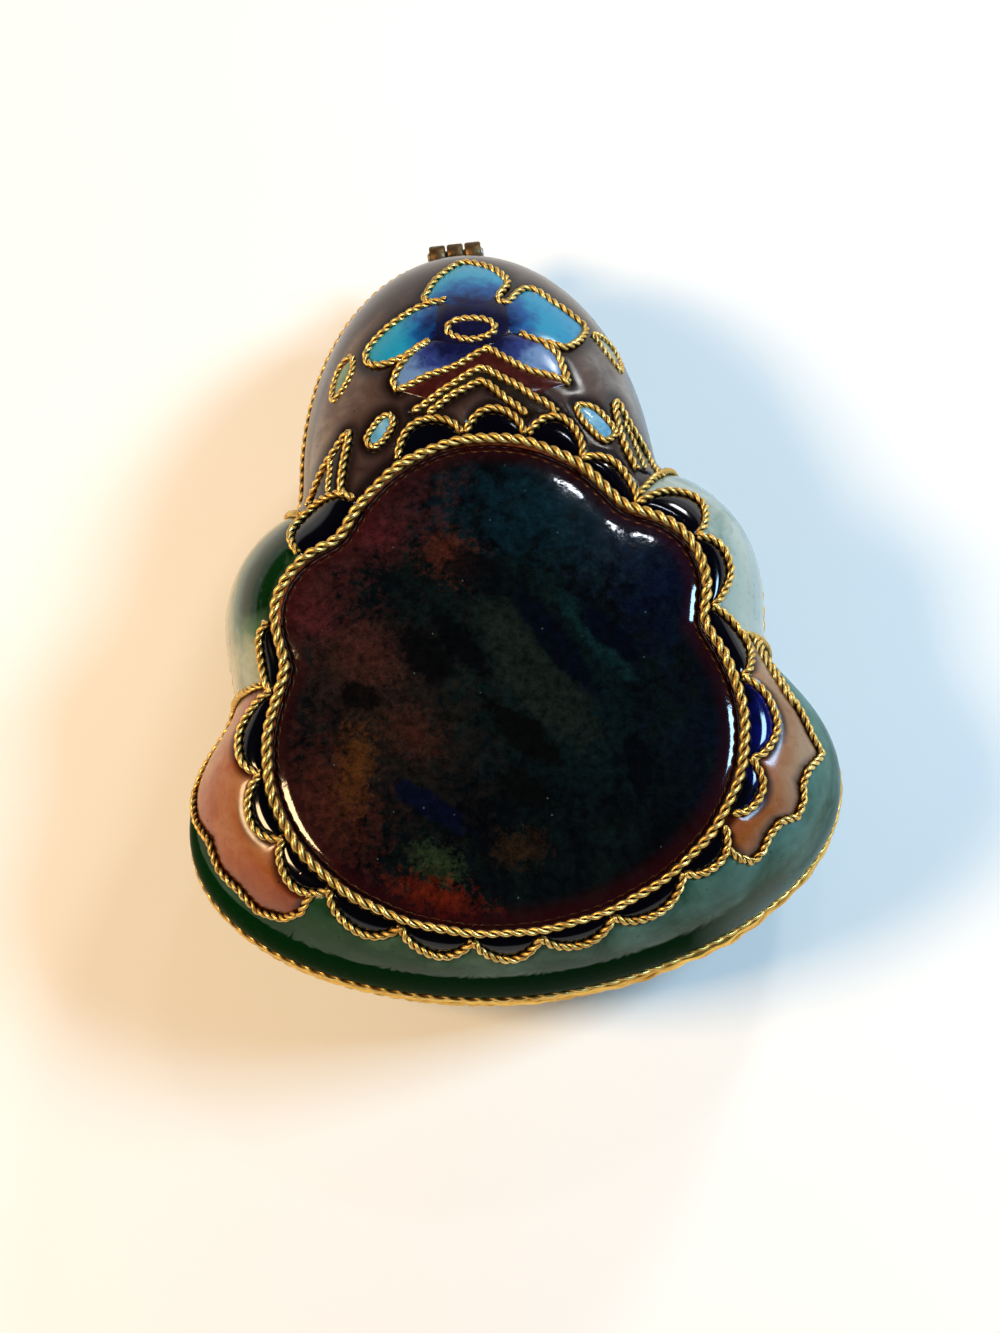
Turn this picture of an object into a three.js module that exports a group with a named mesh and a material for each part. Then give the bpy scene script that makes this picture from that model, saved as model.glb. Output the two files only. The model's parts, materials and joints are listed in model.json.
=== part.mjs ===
import * as THREE from 'three';

// A hinged trinket box in cloisonné enamel on gilt copper, in millimetres with +Z up.
// The wide skirt faces -Y. The narrow domed end faces +Y and carries the hinge.
// Plan shapes are drawn about the middle of the medallion, then the whole box is centred.

// Heights
const footHeight = 0.9;
const seamHeight = 11;
const lidHeight = 14.5;
const bandHeight = 1.4;
const medallionBulge = 1.2;
const seamGap = 0.1;
const trimGap = 0.05;

// Walls, from the enamel face inwards
const enamelThickness = 0.4;
const enamelSeat = 0.3;
const copperWall = 0.9;
const liningSeat = 0.3;
const liningThickness = 0.25;

// Rims, collar and foot
const rimProud = 0.4;
const rimSeat = 0.1;
const collarClearance = 0.2;
const collarWall = 0.6;
const collarRise = 1.2;
const footInset = 7;
const footRingSetback = 1;
const footRingWidth = 1.4;
const footRingSeat = 0.1;
const undersideGap = 0.2;

// Hinge
const barrelRadius = 1;
const boreRadius = 0.6;
const pinRadius = 0.45;
const hingeSeat = 0.1;
const leafThickness = 0.5;
const leafLength = 1.3;
const knuckleLength = 1.4;
const knuckleGap = 0.15;
const pinOverhang = 0.2;
const barrelSteps = 16;

// Rope, wires and cells
const ropeRadius = 0.6;
const ropeSides = 6;
const ropeClearance = 0.15;
const ropeRise = 0.3;
const wireWidth = 0.5;
const wireLow = 0.15;
const wireHigh = 0.5;
const cellLow = 0.12;
const cellHigh = 0.4;
const cellWireClearance = 0.1;
const panelGap = 0.12;
const wireEndGap = 0.4;
const scallopReach = 2.3;
const scallopShare = 0.42;
const scallopValley = 0.6;
const scallopPitch = 18;
const notchCellReach = 2;
const notchCellSpread = 5;

// Plan outlines, as ellipses that blend into each other
const outlineBlend = 24;
const rimLobes = [
  { x: 0, y: 0, rx: 22.4, ry: 22.4 },
  { x: 0, y: -8, rx: 27, ry: 15.2 },
  { x: 12.3, y: 9, rx: 10.2, ry: 10.2 },
  { x: -12.3, y: 9, rx: 10.2, ry: 10.2 },
  { x: 0, y: 20, rx: 14.9, ry: 20.9 },
];
const medallionLobes = [
  { x: 0, y: 0, rx: 16.2, ry: 16.2 },
  { x: 0, y: -4.8, rx: 18.6, ry: 15 },
  { x: 11.2, y: 6.7, rx: 5.8, ry: 5.8 },
  { x: -11.2, y: 6.7, rx: 5.8, ry: 5.8 },
  { x: 0, y: 7.8, rx: 12.2, ry: 12.2 },
];

// Where the enamel fields meet, in degrees round from the middle of the near side
const cheekStart = 48;
const waistTurn = 96;
const domeTurn = 138;
const cheekRise = 9;
const cheekReach = 0.82;
const cheekWave = 0.025;

const columnStep = 6;
const columnCount = 360 / columnStep;
const degree = Math.PI / 180;
const quarterTurn = 90 * degree;
const probe = 0.001;

const shellOuter = enamelThickness + enamelSeat;
const shellInner = shellOuter + copperWall;
const liningOuter = shellInner + liningSeat;
const liningInner = liningOuter + liningThickness;
const lidWallBase = seamHeight + bandHeight;
const lidTop = seamHeight + lidHeight;
const baseWallTop = seamHeight - bandHeight;

const copper = new THREE.MeshStandardMaterial({ color: 0xb9733f, roughness: 0.45, metalness: 1 });
const gilt = new THREE.MeshStandardMaterial({ color: 0xd2a552, roughness: 0.32, metalness: 1 });
const steel = new THREE.MeshStandardMaterial({ color: 0x9a9590, roughness: 0.4, metalness: 1 });

function enamel(colour) {
  return new THREE.MeshStandardMaterial({ color: colour, roughness: 0.12, metalness: 0 });
}

// Distance from the medallion's middle to the far side of one ellipse, or 0 where the ray misses it
function rayToLobe(lobe, angle) {
  const cosine = Math.cos(angle);
  const sine = Math.sin(angle);
  const a = (cosine / lobe.rx) ** 2 + (sine / lobe.ry) ** 2;
  const b = (lobe.x * cosine) / lobe.rx ** 2 + (lobe.y * sine) / lobe.ry ** 2;
  const c = (lobe.x / lobe.rx) ** 2 + (lobe.y / lobe.ry) ** 2 - 1;
  const reach = b * b - a * c;
  if (reach <= 0) {
    return 0;
  }
  return Math.max((b + Math.sqrt(reach)) / a, 0);
}

function outlineRadius(lobes, angle) {
  let total = 0;
  for (const lobe of lobes) {
    total += rayToLobe(lobe, angle) ** outlineBlend;
  }
  return total ** (1 / outlineBlend);
}

function rimRadius(angle) {
  return outlineRadius(rimLobes, angle);
}

function bodyRadius(angle) {
  return rimRadius(angle) - rimProud;
}

function medallionRadius(angle) {
  return outlineRadius(medallionLobes, angle);
}

function angleAt(turn) {
  return turn * degree - quarterTurn;
}

// Degrees round from the near side, the same on the left and on the right
function turnOf(angle) {
  const turn = (angle + quarterTurn) / degree;
  const wrapped = ((turn % 360) + 360) % 360;
  return Math.min(wrapped, 360 - wrapped);
}

function polarPoint(angle, radius, height) {
  return new THREE.Vector3(radius * Math.cos(angle), radius * Math.sin(angle), height);
}

// A point on the lid: slope is 0 at the medallion and a quarter turn at the rim band
function lidPoint(angle, slope, inset) {
  const inner = medallionRadius(angle);
  const spread = bodyRadius(angle) - inner;
  const height = lidWallBase + (lidTop - lidWallBase - inset) * Math.cos(slope);
  return polarPoint(angle, inner - inset + spread * Math.sin(slope), height);
}

function lidNormal(angle, slope) {
  const roundRim = lidPoint(angle + probe, slope, 0).sub(lidPoint(angle - probe, slope, 0));
  const downWall = lidPoint(angle, slope + probe, 0).sub(lidPoint(angle, slope - probe, 0));
  return new THREE.Vector3().crossVectors(downWall, roundRim).normalize();
}

// Millimetres of lid surface for one radian of slope
function slopeScale(angle, slope) {
  const step = lidPoint(angle, slope + probe, 0).sub(lidPoint(angle, slope - probe, 0));
  return step.length() / (2 * probe);
}

function slopeAtDepth(angle, depth) {
  const spread = bodyRadius(angle) - medallionRadius(angle);
  return Math.asin(Math.min(depth / spread, 0.97));
}

// A point on the base: slope is 0 under the rim band and a quarter turn at the foot
function basePoint(angle, slope, inset) {
  const bottom = footHeight + inset;
  const radius = bodyRadius(angle) - inset - footInset * (1 - Math.cos(slope));
  const height = bottom + (baseWallTop - bottom) * (1 - Math.sin(slope));
  return polarPoint(angle, radius, height);
}

function columnAngles() {
  return Array.from({ length: columnCount }, (unused, column) => angleAt(column * columnStep));
}

function ringOf(pointAt) {
  return columnAngles().map(pointAt);
}

function signedVolume(points, triangles) {
  let volume = 0;
  for (const [a, b, c] of triangles) {
    const turned = new THREE.Vector3().crossVectors(points[b], points[c]);
    volume += points[a].dot(turned);
  }
  return volume;
}

function bodyGeometry(points, triangles) {
  const inward = signedVolume(points, triangles) < 0;
  const outward = triangles.map(([a, b, c]) => (inward ? [a, c, b] : [a, b, c]));
  const geometry = new THREE.BufferGeometry().setFromPoints(points);
  geometry.setIndex(outward.flat());
  geometry.computeVertexNormals();
  return geometry;
}

// Sections are loops of equal length whose first half faces the second half, so ends close flat
function sweptBody(sections, closed) {
  const count = sections[0].length;
  const points = sections.flat();
  const triangles = [];
  const spans = closed ? sections.length : sections.length - 1;
  for (let section = 0; section < spans; section += 1) {
    const here = section * count;
    const next = ((section + 1) % sections.length) * count;
    for (let corner = 0; corner < count; corner += 1) {
      const following = (corner + 1) % count;
      triangles.push([here + corner, next + corner, next + following]);
      triangles.push([here + corner, next + following, here + following]);
    }
  }
  if (!closed) {
    const last = (sections.length - 1) * count;
    for (let pair = 0; pair < count / 2 - 1; pair += 1) {
      const facing = count - 1 - pair;
      triangles.push([pair, pair + 1, facing - 1]);
      triangles.push([pair, facing - 1, facing]);
      triangles.push([last + pair, last + facing - 1, last + pair + 1]);
      triangles.push([last + pair, last + facing, last + facing - 1]);
    }
  }
  return bodyGeometry(points, triangles);
}

// Rings of equal length, closed at each end by a fan about a middle point
function dishBody(rings, firstMiddle, lastMiddle) {
  const count = rings[0].length;
  const points = rings.flat();
  const triangles = [];
  const first = points.push(firstMiddle) - 1;
  const last = points.push(lastMiddle) - 1;
  const lastRing = (rings.length - 1) * count;
  for (let corner = 0; corner < count; corner += 1) {
    const following = (corner + 1) % count;
    for (let ring = 0; ring < rings.length - 1; ring += 1) {
      const here = ring * count;
      const next = here + count;
      triangles.push([here + corner, next + corner, next + following]);
      triangles.push([here + corner, next + following, here + following]);
    }
    triangles.push([first, corner, following]);
    triangles.push([last, lastRing + following, lastRing + corner]);
  }
  return bodyGeometry(points, triangles);
}

function ringBody(outerRadius, innerRadius, bottom, top) {
  const sections = columnAngles().map((angle) => [
    polarPoint(angle, outerRadius(angle), top),
    polarPoint(angle, outerRadius(angle), bottom),
    polarPoint(angle, innerRadius(angle), bottom),
    polarPoint(angle, innerRadius(angle), top),
  ]);
  return sweptBody(sections, true);
}

function slopesBetween(start, end, rows) {
  return Array.from({ length: rows + 1 }, (unused, row) => start + ((end - start) * row) / rows);
}

const box = new THREE.Group();
const baseGroup = new THREE.Group();
const lidGroup = new THREE.Group();
box.add(baseGroup, lidGroup);

function addPiece(group, name, geometry, material) {
  const mesh = new THREE.Mesh(geometry, material);
  mesh.name = name;
  group.add(mesh);
}

function middlePoint(height) {
  return new THREE.Vector3(0, 0, height);
}

// Copper base: a shallow tray that curves in to a flat foot
const baseSlopes = [90, 60, 30, 0].map((value) => value * degree);
const lipHeight = seamHeight - seamGap / 2;
const outerWall = baseSlopes.map((slope) => ringOf((angle) => basePoint(angle, slope, shellOuter)));
const innerWall = baseSlopes.map((slope) => ringOf((angle) => basePoint(angle, slope, shellInner)));
const baseRings = [
  ...outerWall,
  ringOf((angle) => polarPoint(angle, bodyRadius(angle) - shellOuter, lipHeight)),
  ringOf((angle) => polarPoint(angle, bodyRadius(angle) - shellInner, lipHeight)),
  ...innerWall.reverse(),
];
addPiece(
  baseGroup,
  'base_shell',
  dishBody(baseRings, middlePoint(footHeight + shellOuter), middlePoint(footHeight + shellInner)),
  copper,
);

const baseLiningRings = [
  ...baseSlopes.map((slope) => ringOf((angle) => basePoint(angle, slope, liningOuter))),
  ...[...baseSlopes].reverse().map((slope) => ringOf((angle) => basePoint(angle, slope, liningInner))),
];
addPiece(
  baseGroup,
  'base_lining',
  dishBody(
    baseLiningRings,
    middlePoint(footHeight + liningOuter),
    middlePoint(footHeight + liningInner),
  ),
  enamel(0x2f6f9e),
);

const sideSlopes = [0, 30, 60].map((value) => value * degree);
const sideSections = columnAngles().map((angle) => [
  ...sideSlopes.map((slope) => basePoint(angle, slope, 0)),
  ...[...sideSlopes].reverse().map((slope) => basePoint(angle, slope, enamelThickness)),
]);
addPiece(baseGroup, 'base_side_enamel', sweptBody(sideSections, true), enamel(0x4f7f66));

addPiece(
  baseGroup,
  'base_rim',
  ringBody(
    rimRadius,
    (angle) => bodyRadius(angle) - shellOuter + rimSeat,
    baseWallTop + trimGap,
    lipHeight,
  ),
  gilt,
);

const collarOuter = shellInner + collarClearance;
addPiece(
  baseGroup,
  'base_collar',
  ringBody(
    (angle) => bodyRadius(angle) - collarOuter,
    (angle) => bodyRadius(angle) - collarOuter - collarWall,
    baseWallTop + collarClearance,
    seamHeight + collarRise,
  ),
  gilt,
);

const footOuter = footInset + footRingSetback;
const footTop = footHeight + shellOuter - footRingSeat;
addPiece(
  baseGroup,
  'foot_ring',
  ringBody(
    (angle) => bodyRadius(angle) - footOuter,
    (angle) => bodyRadius(angle) - footOuter - footRingWidth,
    0,
    footTop,
  ),
  gilt,
);

const undersideInset = footOuter + footRingWidth + undersideGap;
const undersideBottom = footTop - enamelThickness;
const undersideRings = [footTop, undersideBottom].map((height) =>
  ringOf((angle) => polarPoint(angle, bodyRadius(angle) - undersideInset, height)),
);
addPiece(
  baseGroup,
  'base_underside_enamel',
  dishBody(undersideRings, middlePoint(footTop), middlePoint(undersideBottom)),
  enamel(0x2f6f9e),
);

// Copper lid: a dome that falls steeply on the near side and long and gently towards the hinge
const lidOuterSlopes = slopesBetween(0, quarterTurn, 5);
const lidInnerSlopes = slopesBetween(0, quarterTurn, 3);
const skirtHeight = seamHeight + seamGap / 2;
const lidRings = [
  ...lidOuterSlopes.map((slope) => ringOf((angle) => lidPoint(angle, slope, shellOuter))),
  ringOf((angle) => polarPoint(angle, bodyRadius(angle) - shellOuter, skirtHeight)),
  ringOf((angle) => polarPoint(angle, bodyRadius(angle) - shellInner, skirtHeight)),
  ...[...lidInnerSlopes].reverse().map((slope) => ringOf((angle) => lidPoint(angle, slope, shellInner))),
];
addPiece(
  lidGroup,
  'lid_shell',
  dishBody(lidRings, middlePoint(lidTop - shellOuter), middlePoint(lidTop - shellInner)),
  copper,
);

const lidLiningRings = [
  ...lidInnerSlopes.map((slope) => ringOf((angle) => lidPoint(angle, slope, liningOuter))),
  ...[...lidInnerSlopes].reverse().map((slope) => ringOf((angle) => lidPoint(angle, slope, liningInner))),
];
addPiece(
  lidGroup,
  'lid_lining',
  dishBody(lidLiningRings, middlePoint(lidTop - liningOuter), middlePoint(lidTop - liningInner)),
  enamel(0x2f6f9e),
);

addPiece(
  lidGroup,
  'lid_rim',
  ringBody(
    rimRadius,
    (angle) => bodyRadius(angle) - shellOuter + rimSeat,
    skirtHeight,
    lidWallBase - trimGap,
  ),
  gilt,
);

// Medallion: a low glossy pillow inside a thick rope
const medallionInset = ropeRadius + ropeClearance;
const medallionBottom = lidTop - shellOuter + trimGap;

function medallionRing(share, height) {
  return ringOf((angle) => polarPoint(angle, (medallionRadius(angle) - medallionInset) * share, height));
}

const medallionRings = [0.45, 0.8, 1].map((share) =>
  medallionRing(share, lidTop + medallionBulge * (1 - share * share)),
);
addPiece(
  lidGroup,
  'medallion_enamel',
  dishBody(
    [...medallionRings, medallionRing(1, medallionBottom)],
    middlePoint(lidTop + medallionBulge),
    middlePoint(medallionBottom),
  ),
  enamel(0x16202c),
);

const ropeHeight = lidTop + ropeRise;
const ropeSections = columnAngles().map((angle) =>
  Array.from({ length: ropeSides }, (unused, side) => {
    const around = (side * 2 * Math.PI) / ropeSides;
    const radius = medallionRadius(angle) + ropeRadius * Math.cos(around);
    return polarPoint(angle, radius, ropeHeight + ropeRadius * Math.sin(around));
  }),
);
addPiece(lidGroup, 'medallion_rope', sweptBody(ropeSections, true), gilt);

// Scallop cells round the medallion, with one large cell in each of the two far notches
function scallopDepth(angle) {
  const spread = bodyRadius(angle) - medallionRadius(angle);
  const tip = Math.min(scallopReach, scallopShare * spread);
  const valley = medallionInset + scallopValley * (tip - medallionInset);
  const turn = turnOf(angle);
  const lobe = Math.abs(Math.sin((turn * Math.PI) / scallopPitch));
  const notch = notchCellReach * Math.exp(-(((turn - domeTurn) / notchCellSpread) ** 2));
  return valley + (tip - valley) * lobe + notch;
}

function scallopSlope(angle) {
  return slopeAtDepth(angle, scallopDepth(angle));
}

function movedSlope(angle, slope, distance) {
  return slope + distance / slopeScale(angle, slope);
}

function panelSection(angle, start, end, rows) {
  const slopes = slopesBetween(start, end, rows);
  return [
    ...slopes.map((slope) => lidPoint(angle, slope, 0)),
    ...slopes.reverse().map((slope) => lidPoint(angle, slope, enamelThickness)),
  ];
}

const scallopSections = columnAngles().map((angle) =>
  panelSection(
    angle,
    slopeAtDepth(angle, medallionInset),
    movedSlope(angle, scallopSlope(angle), -panelGap),
    1,
  ),
);
addPiece(lidGroup, 'scallop_enamel', sweptBody(scallopSections, true), enamel(0x1c2748));

// The wavy line that bounds the cheek fields on the outside, as a slope
function cheekSlope(angle) {
  const turn = turnOf(angle);
  const rise = cheekReach * (1 - Math.exp(-(turn - cheekStart + columnStep) / cheekRise));
  return Math.asin(rise + cheekWave * Math.cos((2 * Math.PI * turn) / scallopPitch));
}

function skirtEdge(angle) {
  const slope = turnOf(angle) < cheekStart - probe ? scallopSlope(angle) : cheekSlope(angle);
  return movedSlope(angle, slope, panelGap);
}

function scallopEdge(angle) {
  return movedSlope(angle, scallopSlope(angle), panelGap);
}

function cheekEdge(angle) {
  return movedSlope(angle, cheekSlope(angle), -panelGap);
}

function rimEdge() {
  return quarterTurn;
}

// Columns stand on the shared grid, apart from the two ends, which keep a gap to their neighbours
function panelAngles(startTurn, endTurn) {
  const start = angleAt(startTurn);
  const end = angleAt(endTurn);
  const angles = [start + panelGap / bodyRadius(start)];
  for (let turn = startTurn + columnStep; turn < endTurn - probe; turn += columnStep) {
    angles.push(angleAt(turn));
  }
  angles.push(end - panelGap / bodyRadius(end));
  return angles;
}

function panelBody(startTurn, endTurn, upperEdge, lowerEdge, rows) {
  const sections = panelAngles(startTurn, endTurn).map((angle) =>
    panelSection(angle, upperEdge(angle), lowerEdge(angle), rows),
  );
  return sweptBody(sections, false);
}

addPiece(
  lidGroup,
  'dome_enamel',
  panelBody(domeTurn, 360 - domeTurn, scallopEdge, rimEdge, 5),
  enamel(0x8c7480),
);
addPiece(
  lidGroup,
  'skirt_enamel',
  panelBody(-waistTurn, waistTurn, skirtEdge, rimEdge, 4),
  enamel(0x5f8a6e),
);

// Wires stand just over the enamel and follow the surface
function wireBody(stations, closed) {
  const centres = stations.map(({ angle, slope }) => lidPoint(angle, slope, 0));
  const count = centres.length;
  const sections = stations.map(({ angle, slope }, index) => {
    const normal = lidNormal(angle, slope);
    const before = closed ? (index + count - 1) % count : Math.max(index - 1, 0);
    const after = closed ? (index + 1) % count : Math.min(index + 1, count - 1);
    const along = centres[after].clone().sub(centres[before]);
    const side = new THREE.Vector3().crossVectors(normal, along).setLength(wireWidth / 2);
    const top = centres[index].clone().addScaledVector(normal, wireHigh);
    const bottom = centres[index].clone().addScaledVector(normal, wireLow);
    return [
      top.clone().add(side),
      top.clone().sub(side),
      bottom.clone().sub(side),
      bottom.clone().add(side),
    ];
  });
  return sweptBody(sections, closed);
}

const scallopStations = columnAngles().map((angle) => ({ angle, slope: scallopSlope(angle) }));
addPiece(lidGroup, 'scallop_wire', wireBody(scallopStations, true), gilt);

function radialWire(angle) {
  const start = movedSlope(angle, scallopSlope(angle), wireWidth + wireEndGap);
  const slopes = slopesBetween(start, quarterTurn - 4 * degree, 8);
  return wireBody(slopes.map((slope) => ({ angle, slope })), false);
}

function cheekWire(side) {
  const stations = [];
  for (let turn = cheekStart + columnStep; turn <= waistTurn - columnStep; turn += columnStep / 2) {
    const angle = angleAt(side * turn);
    stations.push({ angle, slope: cheekSlope(angle) });
  }
  return wireBody(stations, false);
}

for (const { name, side } of [{ name: 'left', side: -1 }, { name: 'right', side: 1 }]) {
  const shoulderTurns = [side * waistTurn, side * domeTurn].sort((a, b) => a - b);
  const cheekTurns = [side * cheekStart, side * waistTurn].sort((a, b) => a - b);
  addPiece(
    lidGroup,
    `shoulder_enamel_${name}`,
    panelBody(shoulderTurns[0], shoulderTurns[1], scallopEdge, rimEdge, 5),
    enamel(0x7da287),
  );
  addPiece(
    lidGroup,
    `cheek_enamel_${name}`,
    panelBody(cheekTurns[0], cheekTurns[1], scallopEdge, cheekEdge, 3),
    enamel(0xb8664a),
  );
  addPiece(lidGroup, `waist_wire_${name}`, radialWire(angleAt(side * waistTurn)), gilt);
  addPiece(lidGroup, `dome_edge_wire_${name}`, radialWire(angleAt(side * domeTurn)), gilt);
  addPiece(lidGroup, `cheek_wire_${name}`, cheekWire(side), gilt);
}

// Cells and wires on the dome are drawn in plan and follow its surface
function planStation(x, y) {
  const angle = Math.atan2(y, x);
  const depth = Math.hypot(x, y) - medallionRadius(angle);
  return { angle, slope: slopeAtDepth(angle, depth) };
}

function ovalPoint(oval, phase, share, grow) {
  const along = (oval.rx * share + grow) * Math.cos(phase);
  const across = (oval.ry * share + grow) * Math.sin(phase);
  const cosine = Math.cos(oval.tilt * degree);
  const sine = Math.sin(oval.tilt * degree);
  return planStation(oval.x + along * cosine - across * sine, oval.y + along * sine + across * cosine);
}

function liftedPoint({ angle, slope }, lift) {
  return lidPoint(angle, slope, 0).addScaledVector(lidNormal(angle, slope), lift);
}

function ovalRing(oval, corners, share, lift) {
  return Array.from({ length: corners }, (unused, corner) =>
    liftedPoint(ovalPoint(oval, (corner * 2 * Math.PI) / corners, share, 0), lift),
  );
}

function ovalCell(oval, corners) {
  const rings = [
    ovalRing(oval, corners, 0.55, cellHigh),
    ovalRing(oval, corners, 1, cellHigh),
    ovalRing(oval, corners, 1, cellLow),
    ovalRing(oval, corners, 0.55, cellLow),
  ];
  const middle = planStation(oval.x, oval.y);
  return dishBody(rings, liftedPoint(middle, cellHigh), liftedPoint(middle, cellLow));
}

function ovalWire(oval, startPhase, endPhase, steps) {
  const grow = cellWireClearance + wireWidth / 2;
  const closed = endPhase - startPhase >= 2 * Math.PI;
  const count = closed ? steps : steps + 1;
  const stations = Array.from({ length: count }, (unused, index) =>
    ovalPoint(oval, startPhase + ((endPhase - startPhase) * index) / steps, 1, grow),
  );
  return wireBody(stations, closed);
}

const flower = { x: 0.7, y: 30, rx: 1.5, ry: 0.9, tilt: 0 };
addPiece(lidGroup, 'flower_centre_enamel', ovalCell(flower, 12), enamel(0x1b2030));
addPiece(lidGroup, 'flower_centre_wire', ovalWire(flower, 0, 2 * Math.PI, 16), gilt);

const turquoise = 0x39a6a8;
const periwinkle = 0x9fb4d6;
const petals = [
  { name: 'top', x: 1.2, y: 35.3, rx: 2.5, ry: 2, tilt: 0, colour: turquoise },
  { name: 'left', x: -4.9, y: 30.2, rx: 2.7, ry: 1.6, tilt: 20, colour: turquoise },
  { name: 'right', x: 6.9, y: 30.4, rx: 2.7, ry: 1.8, tilt: -25, colour: turquoise },
  { name: 'lower_left', x: -2.8, y: 26.6, rx: 2.5, ry: 1.1, tilt: 32, colour: periwinkle },
  { name: 'lower_right', x: 4.9, y: 26.2, rx: 2.8, ry: 1.1, tilt: -28, colour: periwinkle },
];
const petalOpening = 50 * degree;
for (const petal of petals) {
  addPiece(lidGroup, `petal_${petal.name}`, ovalCell(petal, 16), enamel(petal.colour));
  const towards = Math.atan2(flower.y - petal.y, flower.x - petal.x) - petal.tilt * degree;
  const facing = Math.atan2(Math.sin(towards) / petal.ry, Math.cos(towards) / petal.rx);
  addPiece(
    lidGroup,
    `petal_wire_${petal.name}`,
    ovalWire(petal, facing + petalOpening, facing + 2 * Math.PI - petalOpening, 14),
    gilt,
  );
}

function chevronWire(left, peak, right) {
  const stations = [];
  for (const [from, to, first] of [[left, peak, 0], [peak, right, 1]]) {
    for (let step = first; step <= 5; step += 1) {
      const share = step / 5;
      stations.push(planStation(from.x + (to.x - from.x) * share, from.y + (to.y - from.y) * share));
    }
  }
  return wireBody(stations, false);
}

addPiece(
  lidGroup,
  'chevron_wire_outer',
  chevronWire({ x: -4.4, y: 22.9 }, { x: 1.6, y: 26 }, { x: 8.3, y: 21.6 }),
  gilt,
);
addPiece(
  lidGroup,
  'chevron_wire_inner',
  chevronWire({ x: -1.5, y: 23.2 }, { x: 1.4, y: 24.8 }, { x: 4.4, y: 22.7 }),
  gilt,
);

const smallCells = [
  { name: 'leaf_left', x: -7.3, y: 22.1, rx: 1.1, ry: 0.45, tilt: 50, colour: periwinkle },
  { name: 'leaf_right', x: 10.1, y: 21.2, rx: 1.1, ry: 0.45, tilt: -60, colour: periwinkle },
  { name: 'diamond_left', x: -10, y: 28.4, rx: 1.4, ry: 0.5, tilt: 60, colour: turquoise },
  { name: 'diamond_right', x: 11.6, y: 28, rx: 1.4, ry: 0.5, tilt: -65, colour: turquoise },
  { name: 'spear_left', x: -11.6, y: 18.9, rx: 2, ry: 0.5, tilt: 60, colour: 0x7a3a3c },
  { name: 'spear_right', x: 12.9, y: 19.7, rx: 2, ry: 0.5, tilt: 100, colour: 0x7a3a3c },
];
for (const cell of smallCells) {
  addPiece(lidGroup, cell.name, ovalCell(cell, 12), enamel(cell.colour));
}

// Hinge: three knuckles on one pin, just outside the far end of the rim
const rimTip = rimRadius(quarterTurn);
const axisY = rimTip + hingeSeat + barrelRadius;

// Knuckle in section, anticlockwise, seen along the pin; the leaf points up or down
function knuckleOutline(leafSign) {
  const leafCorner = Math.acos((barrelRadius - leafThickness) / barrelRadius);
  const sweep = 2 * Math.PI - leafCorner;
  const outline = [new THREE.Vector2(-barrelRadius, leafSign * leafLength)];
  for (let step = 0; step <= barrelSteps; step += 1) {
    const around = Math.PI - (sweep * step) / barrelSteps;
    const x = barrelRadius * Math.cos(around);
    outline.push(new THREE.Vector2(x, -leafSign * barrelRadius * Math.sin(around)));
  }
  outline.push(new THREE.Vector2(leafThickness - barrelRadius, leafSign * leafLength));
  return leafSign > 0 ? outline : outline.reverse();
}

function knuckleBody(leafSign, middleX) {
  const section = new THREE.Shape(knuckleOutline(leafSign));
  section.holes.push(new THREE.Path().absarc(0, 0, boreRadius, 0, 2 * Math.PI, true));
  const options = { depth: knuckleLength, bevelEnabled: false, curveSegments: 8 };
  const geometry = new THREE.ExtrudeGeometry(section, options);
  const toHinge = new THREE.Matrix4().makeBasis(
    new THREE.Vector3(0, 1, 0),
    new THREE.Vector3(0, 0, 1),
    new THREE.Vector3(1, 0, 0),
  );
  geometry.applyMatrix4(toHinge);
  geometry.translate(middleX - knuckleLength / 2, axisY, seamHeight);
  return geometry;
}

const knucklePitch = knuckleLength + knuckleGap;
addPiece(baseGroup, 'hinge_knuckle_left', knuckleBody(-1, -knucklePitch), gilt);
addPiece(baseGroup, 'hinge_knuckle_right', knuckleBody(-1, knucklePitch), gilt);
addPiece(lidGroup, 'hinge_knuckle_lid', knuckleBody(1, 0), gilt);

const pinLength = 2 * knucklePitch + knuckleLength + 2 * pinOverhang;
const pin = new THREE.CylinderGeometry(pinRadius, pinRadius, pinLength, 12);
pin.rotateZ(quarterTurn);
pin.translate(0, axisY, seamHeight);
addPiece(baseGroup, 'hinge_pin', pin, steel);

// The box is centred over its footprint, hinge included
const nearEdge = Math.min(...columnAngles().map((angle) => rimRadius(angle) * Math.sin(angle)));
const farEdge = axisY + Math.max(...knuckleOutline(1).map((point) => point.x));
box.position.y = -(nearEdge + farEdge) / 2;

export default box;
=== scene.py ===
import json
import math
from functools import partial

import bpy
import numpy as np
from mathutils import Matrix, Vector


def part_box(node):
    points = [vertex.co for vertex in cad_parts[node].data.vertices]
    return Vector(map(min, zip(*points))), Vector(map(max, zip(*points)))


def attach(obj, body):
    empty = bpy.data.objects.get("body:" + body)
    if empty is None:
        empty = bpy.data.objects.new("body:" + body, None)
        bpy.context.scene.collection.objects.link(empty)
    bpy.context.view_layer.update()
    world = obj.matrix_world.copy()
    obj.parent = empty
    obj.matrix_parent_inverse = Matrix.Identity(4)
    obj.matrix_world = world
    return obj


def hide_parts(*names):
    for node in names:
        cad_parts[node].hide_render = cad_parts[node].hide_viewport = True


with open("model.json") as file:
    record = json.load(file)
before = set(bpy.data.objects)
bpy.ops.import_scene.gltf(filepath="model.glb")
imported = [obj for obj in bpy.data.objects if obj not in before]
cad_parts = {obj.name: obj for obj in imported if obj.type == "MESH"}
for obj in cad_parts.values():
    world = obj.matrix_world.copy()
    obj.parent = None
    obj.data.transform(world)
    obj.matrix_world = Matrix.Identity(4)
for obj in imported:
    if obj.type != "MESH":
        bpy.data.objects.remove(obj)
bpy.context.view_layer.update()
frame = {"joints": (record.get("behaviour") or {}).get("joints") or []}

print("stage: frame loaded")

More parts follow.
